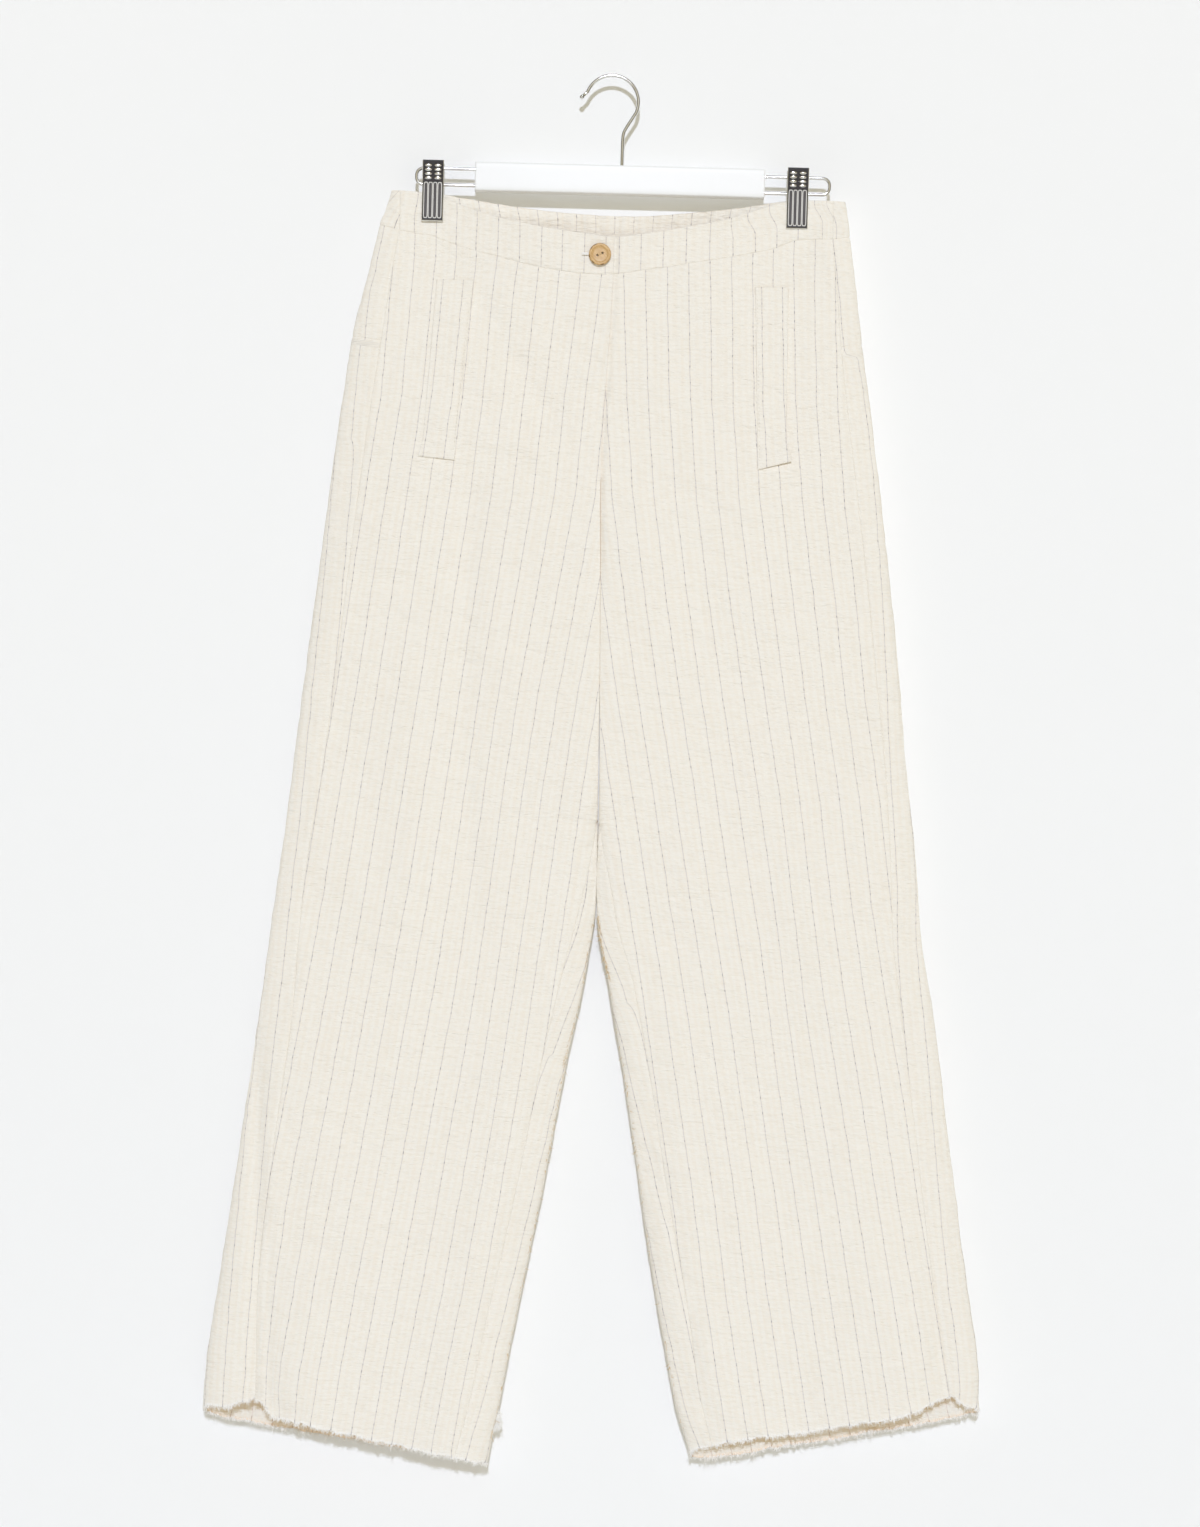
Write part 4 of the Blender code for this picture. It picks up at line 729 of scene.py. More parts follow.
def tube(rings: Array, ends: Array | None = None) -> tuple[Array, Array]:
    """A closed skin over rings of points.

    Args:
        rings: (rings, sides, 3) points.
        ends: (2, 3) middle points of the end faces, or None for ends closed straight across.

    Returns:
        Points and faces: triangles if the count of sides is odd, and quads if it is even.
    """
    count, sides = rings.shape[:2]
    corner = np.arange(count * sides).reshape(count, sides)
    after = np.roll(corner, -1, axis=1)
    walls = np.stack([corner[:-1], after[:-1], after[1:], corner[1:]], axis=-1).reshape(-1, 4)
    points = rings.reshape(-1, 3)
    if ends is None:
        k = np.arange(sides // 2 - 1)
        rows = (corner[0], corner[-1, ::-1])
        caps = [np.stack([row[k], row[k + 1], row[-2 - k], row[-1 - k]], axis=-1) for row in rows]
        return points, facing_out(points, np.concatenate([walls, *caps]))
    rows = enumerate((corner[0], np.roll(corner[-1, ::-1], 1)), start=len(points))
    points = np.concatenate([points, ends])
    if sides % 2:
        walls = np.concatenate([walls[:, :3], walls[:, [0, 2, 3]]])
        caps = [np.stack([0 * row + middle, np.roll(row, -1), row], axis=-1) for middle, row in rows]
    else:
        caps = [
            np.stack([0 * row[::2] + middle, np.roll(row, -2)[::2], row[1::2], row[::2]], axis=-1)
            for middle, row in rows
        ]
    return points, facing_out(points, np.concatenate([walls, *caps]))


def sweep(
    path: Array, radii: Array | float, sides: int, normal: Array = Y_AXIS, flat: float = 1.0
) -> tuple[Array, Array]:
    """A closed round bar along a path.

    Formula: at each path point a circle of its radius in the plane of the normal and of tangent x
    normal; the end rings close on a point each. flat squashes the circle along the normal.

    Args:
        path: (n, 3) points.
        radii: (n,) radii, or one for all.
        sides: Corners of each circle.
        normal: (n, 3) or (3,) directions square to the path.
        flat: Height of the circle along the normal, as a share of its width.

    Returns:
        Points and faces.
    """
    normal = np.broadcast_to(normal, path.shape)
    across = unit(np.cross(unit(np.gradient(path, axis=0)), normal))
    turn = 2 * math.pi * np.arange(sides)[:, None] / sides
    circle = np.cos(turn) * across[:, None] + flat * np.sin(turn) * normal[:, None]
    wide = np.broadcast_to(radii, len(path))[:, None, None]
    return tube(path[:, None] + wide * circle, path[[0, -1]])


def joined(parts: list[tuple[Array, Array]]) -> tuple[Array, Array]:
    """Several (points, faces) pairs as one."""
    starts = np.cumsum([0] + [len(points) for points, _ in parts[:-1]])
    faces = np.concatenate([faces + start for (_, faces), start in zip(parts, starts)])
    return np.concatenate([points for points, _ in parts]), faces


def repeated(points: Array, faces: Array, frames: Array, places: Array) -> tuple[Array, Array]:
    """Copies of one small shape.

    Args:
        points: (v, 3) the shape in its own axes.
        faces: Its faces.
        frames: (copies, 3, 3) each copy's axes as rows, with its scale in their lengths.
        places: (copies, 3) each copy's place.

    Returns:
        Points and faces of all copies.
    """
    made = np.einsum("vk,ckx->cvx", points, frames) + places[:, None]
    shifted = faces[None] + len(points) * np.arange(len(places))[:, None, None]
    return made.reshape(-1, 3), shifted.reshape(-1, faces.shape[1])


# ---- finishes --------------------------------------------------------------------------------------------


class Value:
    """An output of a node; arithmetic on it makes further nodes."""

    def __init__(self, graph: Graph, socket: bpy.types.NodeSocket) -> None:
        """Keeps the output and its tree."""
        self.graph, self.socket = graph, socket

    def __add__(self, other: Value | float) -> Value:
        """The sum."""
        return self.graph.math("ADD", self, other)

    def __sub__(self, other: Value | float) -> Value:
        """The difference."""
        return self.graph.math("SUBTRACT", self, other)

    def __mul__(self, other: Value | float) -> Value:
        """The product."""
        return self.graph.math("MULTIPLY", self, other)


class Graph:
    """A node tree, with short ways to add nodes and to link or set their sockets."""

    def __init__(self, tree: bpy.types.NodeTree) -> None:
        """Wraps a tree that already has its output."""
        self.tree = tree

    @classmethod
    def of_material(cls, name: str) -> Graph:
        """The tree of a new material with a bare Principled shader."""
        material = bpy.data.materials.new(name)
        material.use_nodes = True
        graph = cls(material.node_tree)
        graph.material, graph.shader = material, material.node_tree.nodes["Principled BSDF"]
        return graph

    def put(self, socket: bpy.types.NodeSocket, value: object) -> None:
        """Links a socket to an output, or sets it to a constant."""
        if isinstance(value, Value):
            self.tree.links.new(value.socket, socket)
        elif isinstance(value, tuple) and len(value) == 3 and socket.type == "RGBA":
            socket.default_value = (*value, 1.0)
        else:
            socket.default_value = value

    def node(self, kind: str, inputs: dict, **settings: object) -> bpy.types.Node:
        """A node with its settings, and its inputs by name or index."""
        made = self.tree.nodes.new("ShaderNode" + kind)
        for key, value in settings.items():
            setattr(made, key, value)
        for key, value in inputs.items():
            self.put(made.inputs[key], value)
        return made

    def value(self, kind: str, inputs: dict, output: int | str = 0, **settings: object) -> Value:
        """One output of a new node."""
        return Value(self, self.node(kind, inputs, **settings).outputs[output])

    def split(self, vector: Value) -> list[Value]:
        """A vector's three numbers."""
        return [Value(self, socket) for socket in self.node("SeparateXYZ", {0: vector}).outputs]

    def math(self, operation: str, a: object, b: object = 0.0, c: object = 0.0) -> Value:
        """One step of arithmetic."""
        return self.value("Math", {0: a, 1: b, 2: c}, operation=operation)

    def step(self, value: Value, low: float, high: float) -> Value:
        """A soft step from 0 at low to 1 at high; low may lie above high."""
        inputs = {"Value": value, "From Min": low, "From Max": high}
        return self.value("MapRange", inputs, "Result", interpolation_type="SMOOTHSTEP")

    def mix(self, share: Value, a: object, b: object, blend: str = "MIX") -> Value:
        """A colour between two, by a share."""
        return self.value("Mix", {0: share, 6: a, 7: b}, 2, data_type="RGBA", blend_type=blend)

    def vector(self, x: object, y: object, z: object = 0.0) -> Value:
        """A vector from three numbers."""
        return self.value("CombineXYZ", {0: x, 1: y, 2: z})

    def noise(self, place: Value, scale: float, detail: float = 2.0, rough: float = 0.5) -> Value:
        """Smooth noise around 0.5."""
        inputs = {"Vector": place, "Scale": scale, "Detail": detail, "Roughness": rough}
        return self.value("TexNoise", inputs, "Fac")

    def bump(self, height: Value, distance: float, strength: float, before: Value | None = None) -> Value:
        """A bump in metres of height, over an earlier one."""
        earlier = {} if before is None else {"Normal": before}
        inputs = {"Height": height, "Distance": distance, "Strength": strength, **earlier}
        return self.value("Bump", inputs, "Normal")

    def place(self) -> Value:
        """Object coordinates, in metres."""
        return self.value("TexCoord", {}, "Object")

    def surface(self, **values: object) -> bpy.types.Material:
        """Sets the shader's sockets, underscores standing for spaces, and gives back the material."""
        for key, value in values.items():
            self.put(self.shader.inputs[key.replace("_", " ")], value)
        return self.material


@dataclass(frozen=True)
class CottonFinish:
    """Crinkled ivory cotton with broken pinstripes and faint self-coloured bands; its wrong side has a
    painted glow, a cooler tint that offsets that glow, and painted warm shade at cut edges.
    """

    ivory: tuple = (0.890, 0.855, 0.778)
    beige: tuple = (0.868, 0.812, 0.712)
    stripe: tuple = (0.53, 0.50, 0.52)
    dash: tuple = (0.25, 0.225, 0.25)
    # The tan is painted shade: a warm line on the wrong side at cut edges, for the shaded gap between the
    # hem's layers.
    tan: tuple = (0.55, 0.36, 0.16)
    frayed: tuple = (0.94, 0.93, 0.905)
    # Painted glow on the wrong side: warm orange on the legs and faint grey on the waistbands, standing in
    # for light that passes through the thin cloth, though no lamp is there. The cooler inside tint offsets
    # that glow where the wrong side is lit.
    through: tuple = (1.0, 0.50, 0.12)
    scattered: tuple = (0.24, 0.27, 0.28)
    inside: tuple = (0.78, 0.88, 0.96)
    glow: float = 0.14

    def material(self) -> bpy.types.Material:
        """Everything follows the stripe coordinates: 1 across is one pinstripe pitch, and so is 1 along."""
        g = Graph.of_material("cotton")
        u, v, _ = g.split(g.value("UVMap", {}, "UV", uv_map="stripe"))
        shifted = u + (g.noise(g.vector(u * 0.9, v), 0.8, 1.0) - 0.5) * 0.09
        off = g.math("PINGPONG", shifted, 0.5)
        strength = g.noise(g.vector(g.math("ROUND", shifted) * 7.31, v), 5.2, 2.0, 0.6)
        line = g.step(off, 0.025, 0.010) * g.step(strength, 0.18, 0.45)
        core = g.step(off, 0.020, 0.008) * g.step(strength, 0.52, 0.63)
        streaks = g.noise(g.vector(u * 6.0, v * 0.25), 1.0, 1.0, 0.6)
        weft = g.noise(g.vector(u * 1.6, v * 9.0), 1.0, 3.0, 0.7)
        tone = g.math("COSINE", u * (6 * math.pi)) * 0.26 + (streaks - 0.5) * 1.2 + (weft - 0.5) * 3.2
        colour = g.mix(tone + 0.4, self.ivory, self.beige)
        edge, inner = (g.value("Attribute", {}, "Fac", attribute_name=name) for name in ("raw", "inner"))
        # Painted light: the wrong side is tinted cooler, to offset its painted glow where it is lit.
        colour = g.mix(g.step(inner, 0.5, 1.0), colour, self.inside, "MULTIPLY")
        fray = g.noise(g.vector(u * 14.0, v * 3.0), 2.0, 0.0)
        colour = g.mix(edge * g.step(fray, 0.35, 0.6), colour, self.frayed)
        colour = g.mix(line * 0.54, colour, self.stripe)
        end = edge * 0.9 * g.step(off, 0.035, 0.015)
        colour = g.mix(g.math("MAXIMUM", core, end) * 0.96, colour, self.dash)
        # Painted shade: tan on the wrong side along cut edges, for the shaded gap between the hem's layers,
        # warm from light through the cloth.
        colour = g.mix(edge * inner * g.step(fray, 0.2, 0.5) * 0.45, colour, self.tan)
        fine = g.noise(g.vector(u * 2.0, v * 7.5), 1.0, 2.0, 0.65)
        thread = g.noise(g.vector(u * 30.0, v * 34.0), 1.0, 0.0)
        normal = g.bump(thread, 0.00018, 0.7, g.bump(fine, 0.0015, 0.85))
        # Painted glow: by the inner attribute the wrong side emits warm orange on the legs and faint grey on
        # the waistbands, in place of light passing through the cloth.
        through = g.mix(g.step(inner, 0.0, 0.5), (0.0, 0.0, 0.0), self.scattered)
        through = g.mix(g.step(inner, 0.5, 1.0), through, self.through)
        return g.surface(
            Base_Color=colour, Roughness=streaks * 0.08 + 0.86, Normal=normal, Sheen_Weight=0.12,
            Sheen_Roughness=0.6, Specular_IOR_Level=0.25, Emission_Color=through, Emission_Strength=self.glow,
        )


@dataclass(frozen=True)
class ThreadFinish:
    """Matt sewing thread with its twist."""

    name: str
    light: tuple
    dark: tuple

    def material(self) -> bpy.types.Material:
        """Fine noise in object coordinates lightens and darkens the thread."""
        g = Graph.of_material(self.name)
        speck = g.noise(g.place(), 1400.0, 2.0)
        return g.surface(Base_Color=g.mix(speck, self.dark, self.light), Roughness=speck * 0.2 + 0.7)


@dataclass(frozen=True)
class HornFinish:
    """Golden tan button, streaked, with a painted highlight as a paler patch on the rim's upper right, and
    dark round its rim in places.
    """

    light: tuple = (0.72, 0.49, 0.23)
    deep: tuple = (0.50, 0.29, 0.10)
    # Painted highlight: the paler colour below and the centre after it make a pale patch on the rim's upper
    # right, the side that faces the lamps.
    pale_tone: tuple = (0.84, 0.70, 0.48)
    mark: tuple = (0.13, 0.06, 0.02)
    painted_highlight_at: tuple = (0.0045, 0.0, 0.0040)

    def material(self) -> bpy.types.Material:
        """Slanting streaks of noise, a painted highlight as a paler patch, and rim marks that depend on place
        round the centre.
        """
        g = Graph.of_material("horn_button")
        centre = (-Button.x * MM, 0.0, -Button.z * MM)
        placed = g.value("Mapping", {"Vector": g.place(), "Location": centre})
        x, _, z = g.split(placed)
        streak = g.noise(g.vector(x + z, z * 0.3), 900.0, 3.0, 0.6)
        colour = g.mix(g.step(streak, 0.3, 0.7), self.deep, self.light)
        # Painted highlight: a paler patch on the rim's upper right, within the streaks.
        away = g.value("VectorMath", {0: placed, 1: self.painted_highlight_at}, "Value", operation="DISTANCE")
        patch = g.step(away, 0.0062, 0.0015) * g.step(streak, 0.2, 0.6)
        colour = g.mix(patch * 0.6, colour, self.pale_tone)
        radius = g.value("VectorMath", {0: g.vector(x, 0.0, z)}, "Value", operation="LENGTH")
        rim = g.step(radius, 0.0076, 0.0088) * g.step(g.noise(placed, 330.0, 1.0), 0.52, 0.62)
        colour = g.mix(rim * 0.85, colour, self.mark)
        normal = g.bump(streak, 0.0001, 0.4)
        return g.surface(Base_Color=colour, Roughness=streak * 0.25 + 0.28, Normal=normal)


@dataclass(frozen=True)
class PaintFinish:
    """Thick painted coat with a faint orange peel."""

    name: str
    colour: tuple
    shade: tuple
    roughness: float

    def material(self) -> bpy.types.Material:
        """Broad noise shifts the colour a little; fine noise makes the coat's surface."""
        g = Graph.of_material(self.name)
        place = g.place()
        colour = g.mix(g.noise(place, 30.0, 3.0), self.shade, self.colour)
        fine = g.noise(place, 420.0, 2.0)
        rough = fine * 0.12 + self.roughness
        return g.surface(Base_Color=colour, Roughness=rough, Normal=g.bump(fine, 0.00008, 0.35))


@dataclass(frozen=True)
class MetalFinish:
    """Bright plated metal with fine scratches."""

    name: str
    colour: tuple
    tarnish: tuple
    roughness: float

    def material(self) -> bpy.types.Material:
        """Stretched noise gives scratches, broad noise a slight tarnish."""
        g = Graph.of_material(self.name)
        place = g.place()
        colour = g.mix(g.step(g.noise(place, 60.0, 3.0), 0.35, 0.75), self.colour, self.tarnish)
        scratch = g.noise(g.value("Mapping", {"Vector": place, "Scale": (900.0, 900.0, 60.0)}), 1.0, 2.0)
        rough = scratch * 0.10 + self.roughness
        scratched = g.bump(scratch, 0.00003, 0.3)
        return g.surface(Base_Color=colour, Metallic=1.0, Roughness=rough, Normal=scratched)


@dataclass(frozen=True)
class WallFinish:
    """Plain matt wall or floor, seen from its front only where it is one-sided."""

    name: str
    colour: tuple
    one_sided: bool

    def material(self) -> bpy.types.Material:
        """Faint broad noise; the back of a one-sided wall lets everything through."""
        g = Graph.of_material(self.name)
        darker = tuple(0.985 * c for c in self.colour)
        colour = g.mix(g.noise(g.place(), 1.4, 2.0), darker, self.colour)
        g.surface(Base_Color=colour, Roughness=0.95, Specular_IOR_Level=0.1)
        if self.one_sided:
            behind, clear = g.value("NewGeometry", {}, "Backfacing"), g.value("BsdfTransparent", {})
            both = g.value("MixShader", {0: behind, 1: Value(g, g.shader.outputs[0]), 2: clear})
            g.put(g.tree.nodes["Material Output"].inputs["Surface"], both)
        return g.material


class Finishes:
    """One of each material."""

    def __init__(self) -> None:
        """Makes them all."""
        thread, paint, metal = ThreadFinish, PaintFinish, MetalFinish
        self.cotton = CottonFinish().material()
        self.ecru = thread("ecru_thread", (0.88, 0.84, 0.76), (0.74, 0.68, 0.57)).material()
        self.white = thread("white_thread", (0.93, 0.92, 0.89), (0.86, 0.84, 0.80)).material()
        self.fibre = thread("loose_fibre", (0.78, 0.60, 0.34), (0.50, 0.33, 0.14)).material()
        self.horn = HornFinish().material()
        self.paint = paint("white_paint", (0.90, 0.905, 0.90), (0.885, 0.89, 0.885), 0.36).material()
        self.enamel = paint("black_enamel", (0.022, 0.018, 0.019), (0.030, 0.025, 0.026), 0.42).material()
        self.chrome = metal("chrome", (0.86, 0.86, 0.85), (0.74, 0.72, 0.68), 0.07).material()
        self.pale_tone = paint("worn_edge", (0.88, 0.87, 0.84), (0.66, 0.64, 0.60), 0.35).material()
        self.dull = paint("rib_steel", (0.115, 0.105, 0.105), (0.075, 0.068, 0.070), 0.40).material()
        self.steel = metal("clip_steel", (0.72, 0.71, 0.70), (0.55, 0.53, 0.50), 0.18).material()


# ---- the trousers ----------------------------------------------------------------------------------------


class Edge(Enum):
    """How a panel's edge is finished."""

    SEWN = "sewn"  # turned in along a seam
    FOLDED = "folded"  # a rounded fold
    RAW = "raw"  # cut and left

    def sunk(self, distance: Array) -> Array:
        """How far the finish sets the face side in, at a distance from the edge.

        Formula: a sewn edge falls off exponentially and has a shallow Gaussian valley beside it; a
        folded one follows a quarter circle; a raw one stays level.
        """
        if self is Edge.SEWN:
            valley = SEAM_DIP * np.exp(-((distance / SEAM_DIP_WIDE) ** 2))
            return SEAM_SINKS * np.exp(-distance / SEAM_SOFT) + valley
        if self is Edge.FOLDED:
            near = np.clip(1 - distance / FOLDED_ROUND, 0, 1)
            return FOLDED_ROUND * (1 - np.sqrt(1 - near**2))
        return np.zeros_like(distance)


def spaced_rows(start: float, end: float, count: int, last: Array = EDGE_STEPS[::-1]) -> Array:
    """Shares of a panel's rows: close beside its two ends, even between.

    Args:
        start: Share of the first row.
        end: Share of the last.
        count: Rows between those beside the ends.
        last: Millimetres from the end of the rows beside it.

    Returns:
        (rows,) shares.
    """
    last = last / LEG_LONG
    return crowded(start + EDGE_STEPS / LEG_LONG, count, [end - last[0] * 1.6, *(end - last)])


def strand(start: Array, long: float, angle: Array, drift: float, radii: Array) -> tuple[Array, Array]:
    """A loose thread from a start, which takes even steps at the angles in X and Z and drifts in Y."""
    steps = long / (len(angle) - 1) * np.stack([np.cos(angle), 0 * angle + drift, np.sin(angle)], axis=1)
    return sweep(start + np.cumsum(steps, axis=0), radii, 5)


@dataclass
class Trousers:
    """The cut and sewn pieces."""

    finishes: Finishes
    front_columns: int = 92
    back_columns: int = 112
    yoke_columns: int = 172
    front_band_columns: int = 70
    back_band_columns: int = 130
    front_rows: int = 368
    back_rows: int = 288
    yoke_rows: int = 40
    band_rows: int = 12
    hems: list = field(default_factory=list)
    teeth: Crinkle = Crinkle(31, 1.9, 3.0)
    ripples: tuple = (
        (0.25, Crinkle(11, 12.0, 1.7)),
        (0.38, Crinkle(12, 34.0, 7.0, 8.0)),
        (0.60, Crinkle(13, 16.0, 40.0, 20.0)),
        (0.30, Crinkle(14, 22.0, 4.0, -24.0)),
    )
    fringe_per_mm: float = 2.9
    fibres: int = 170
    at_crotch: tuple = (20, 90)  # fibres there on the right and the left leg
    tuft_at: tuple = (-66.5, -2.5, -1088.0)
    tuft_wide: tuple = (0.8, 0.8, 3.2)

    def relief(self, a: Array, z: Array) -> Array:
        """The cloth's crinkle: four sheets of random relief, mostly drawn out sideways."""
        return sum(height * sheet.at(a, z) for height, sheet in self.ripples)

    def creased(self, points: Array, out: Array) -> Array:
        """The listed creases.

        Formula: each is its rise times a Gaussian of the distance from its line, fading in and out
        about either end; a crease reaches only its own face.
        """
        total = np.zeros(points.shape[:-1])
        x, z = points[..., 0], points[..., 2]
        for face, x0, z0, x1, z1, wide, rise in CREASES:
            long = math.hypot(x1 - x0, z1 - z0)
            way_x, way_z = (x1 - x0) / long, (z1 - z0) / long
            along = ((x - x0) * way_x + (z - z0) * way_z) / long
            off = (x - x0) * way_z - (z - z0) * way_x
            fade = smooth((along + CREASE_PAST) / CREASE_FADES)
            fade = fade * smooth((1 + CREASE_PAST - along) / CREASE_FADES)
            total += rise * np.exp(-((off / wide) ** 2)) * fade * (out[..., 1] * face > 0.3)
        return total

    def cloth(
        self,
        node: str,
        points: Array,
        out: Array,
        a: Array,
        edges: tuple,
        uv: Array,
        thick: float = THICK,
        glow: float = 1.0,
        inner_uv: Array | None = None,
        **sheet: object,
    ) -> None:
        """Turns a grid of a form into a finished shell.

        Args:
            node: The solid that it stands for, after which it is named.
            points: (rows, columns, 3) points on the form.
            out: Their outward directions.
            a: (rows, columns) place across the cloth, for the crinkle.
            edges: Pairs of the distances from an edge and its finish.
            uv: (rows, columns, 2) stripe coordinates.
            thick: The shell's thickness.
            glow: How strongly its wrong side shows the painted glow that stands in for light through the
                cloth, 0 to 1.
            inner_uv: Stripe coordinates of the wrong side, or None for the same ones.
        """
        name = "cloth_" + node.replace("waistband", "band")
        down, calm, raw = np.zeros(a.shape), np.ones(a.shape), np.zeros(a.shape)
        for distance, edge in edges:
            down = np.maximum(down, edge.sunk(distance))
            if edge is Edge.RAW:
                raw = np.maximum(raw, np.exp(-((distance / RAW_WIDE) ** 2)))
            else:
                calm = calm * (CALM_LEAST + (1 - CALM_LEAST) * smooth(distance / CALM_WIDE))
        facing = FACING_LEAST + (1 - FACING_LEAST) * out[..., 1] ** 2
        lift = self.relief(a, points[..., 2]) * calm * facing + self.creased(points, out) - down
        if raw.any():
            from_hem = (points[..., 2] - points[-1:, :, 2]) / TEETH_WIDE
            frayed = self.teeth.at(a, 0 * a) * np.exp(-(from_hem**2))
            points = points + np.array([0.0, 0.0, TEETH]) * frayed[..., None]
            self.hems.append((points[-1] + out[-1] * (lift[-1] - thick / 2)[:, None], name))
        outside = points + out * lift[..., None]
        inside = outside - out * (thick - np.minimum(down, 0.2) * 0.5)[..., None]
        thing = shell(name, outside, inside, uv, uv if inner_uv is None else inner_uv)
        # The inner attribute carries the share of the painted glow on the wrong side.
        sides = {"raw": (raw, raw), "inner": (0 * raw, 0 * raw + glow)}
        for attribute, values in sides.items():
            made = thing.data.attributes.new(attribute, "FLOAT", "POINT")
            made.data.foreach_set("value", np.stack(values).astype(np.float32).ravel())
        dress(thing, self.finishes.cotton, "cotton", node)

    def front(self, side: int) -> None:
        """Front of one leg, from the centre front or the inseam to the side seam."""
        share = spaced_rows(0.0, 1.0, self.front_rows, RAW_STEPS)
        rings = Rings(LegForm(side), share)
        start, end = rings.inseam_arcs()[0], rings.seam_arc()
        arcs, points, out = rings.panel(start, end, self.front_columns)
        x, z = points[..., 0].copy(), points[..., 2]
        from_start, from_end = arcs - start[:, None], end[:, None] - arcs
        down = (share * LEG_LONG)[:, None]
        fly = smooth((z[:, :1] - FLY_END_Z) / FLY_FADES)
        if side == 1:
            points[..., 0] -= FLY_LAP * fly * np.clip(1 - from_start, 0, 1)
            sinks = smooth((z[:, :1] - LEVEL_AGAIN_Z) / FLY_SINKS) * (1 - smooth(from_start / FLY_STEP_WIDE))
            points[..., 1] += FLY_STEP * sinks
        edges = (
            (down, Edge.SEWN), (LEG_LONG - down, Edge.RAW), (from_end, Edge.SEWN),
            (from_start + FAR * fly, Edge.SEWN), (from_start + FAR * (1 - fly), Edge.FOLDED),
        )
        uv, name = stripe_uv(front_stripes(side, x, z), z), SIDE_NAMES[side]
        self.cloth(
            "front_" + name, points, out, x, edges, uv,
            flat=(0.245, 0.975), area=0.2, held="hung", rests_on=["cloth_band_front_" + name],
        )

    def back(self, side: int, yoke: bool) -> None:
        """Back of one leg or its yoke, from the side seam round the outer fold to its inner seam."""
        name = SIDE_NAMES[side]
        if yoke:
            share, count = spaced_rows(0.0, YOKE_SHARE, self.yoke_rows), self.yoke_columns
            node, bottom, on = "yoke_" + name, Edge.SEWN, "cloth_band_back"
            sheet = {"flat": (0.255, 0.100), "area": 0.0225, "held": "gathered", "rests_on": [on]}
        else:
            share, count = spaced_rows(YOKE_SHARE, 1.0, self.back_rows, RAW_STEPS), self.back_columns
            node, bottom, on = "back_" + name, Edge.RAW, "cloth_yoke_" + name
            sheet = {"flat": (0.320, 0.890), "area": 0.256, "held": "hung", "rests_on": [on]}
        rings = Rings(LegForm(side), share)
        start, end = rings.seam_arc(), rings.inseam_arcs()[1]
        arcs, points, out = rings.panel(start, end, count)
        down = ((share - share[0]) * LEG_LONG)[:, None]
        edges = (
            (down, Edge.SEWN), (down[-1] - down, bottom),
            (arcs - start[:, None], Edge.SEWN), (end[:, None] - arcs, Edge.SEWN),
        )
        uv = stripe_uv(rings.stripes(arcs), points[..., 2])
        self.cloth(node, points, out, 3000.0 * side + arcs, edges, uv, **sheet)

    def band_shares(self) -> Array:
        """Shares of the waistband's height, close together at its edges."""
        return crowded([0, 0.004, 0.014, 0.03, 0.06, 0.1], self.band_rows, [0.9, 0.95, 0.98, 0.993, 1])

    def front_band(self, side: int) -> None:
        """Front waistband piece; the wearer's left one runs on under the right one."""
        band, name, high = self.band_shares(), SIDE_NAMES[side], 45.0
        rings = Rings(LegForm(side), 0 * band, band)
        end = rings.seam_arc()
        arcs, points, out = rings.panel(0 * band, end, self.front_band_columns)
        x, up = points[..., 0].copy(), (high * band)[:, None]
        if side == 1:
            points[..., 0] -= UNDERLAP * np.clip(1 - arcs, 0, 1)
            points[..., 1] += BAND_STEP * (1 - smooth((arcs - 1.0) / BAND_STEP_WIDE))
        edges = (
            (up, Edge.SEWN), (high - up, Edge.FOLDED), (end[:, None] - arcs, Edge.SEWN), (arcs, Edge.FOLDED),
        )
        uv = stripe_uv(band_stripes(side, x, band[:, None]), points[..., 2])
        self.cloth(
            "waistband_front_" + name, points, out, x + 900.0, edges, uv, BAND_THICK, BAND_GLOW,
            flat=(0.172 if side < 0 else 0.200, 0.038), held="hung", rests_on=["clip_plate_" + name],
        )

    def back_band(self) -> None:
        """The gathered back waistband, one piece from side seam to side seam."""
        band, high = self.band_shares(), 40.0
        halves = []
        for side in (-1, 1):
            rings = Rings(LegForm(side), 0 * band, band)
            start, end = rings.seam_arc(), rings.centre_back_arc()
            arcs, points, out = rings.panel(start, end, self.back_band_columns)
            grids = (points, out, arcs - start[:, None], side * (end[:, None] - arcs))
            keep = [grid[:, : 1 - len(EDGE_STEPS)] for grid in grids]
            halves.append(keep if side < 0 else [grid[:, ::-1] for grid in keep])
        points, out, from_seam, across = (np.concatenate(pair, axis=1) for pair in zip(*halves))
        up = (high * band)[:, None]
        uv = stripe_uv(across / BACK_BAND_PITCH, points[..., 2])
        inner_uv = uv + np.array([0.5, 0.0]) * (band < BACK_BAND_TURNED)[:, None, None]
        edges = ((up, Edge.SEWN), (high - up, Edge.FOLDED), (from_seam, Edge.SEWN))
        self.cloth(
            "waistband_back", points, out, across, edges, uv, BAND_THICK, BAND_GLOW, inner_uv,
            flat=(0.440, 0.036), held="gathered", rests_on=["clip_rear_right", "clip_rear_left"],
        )

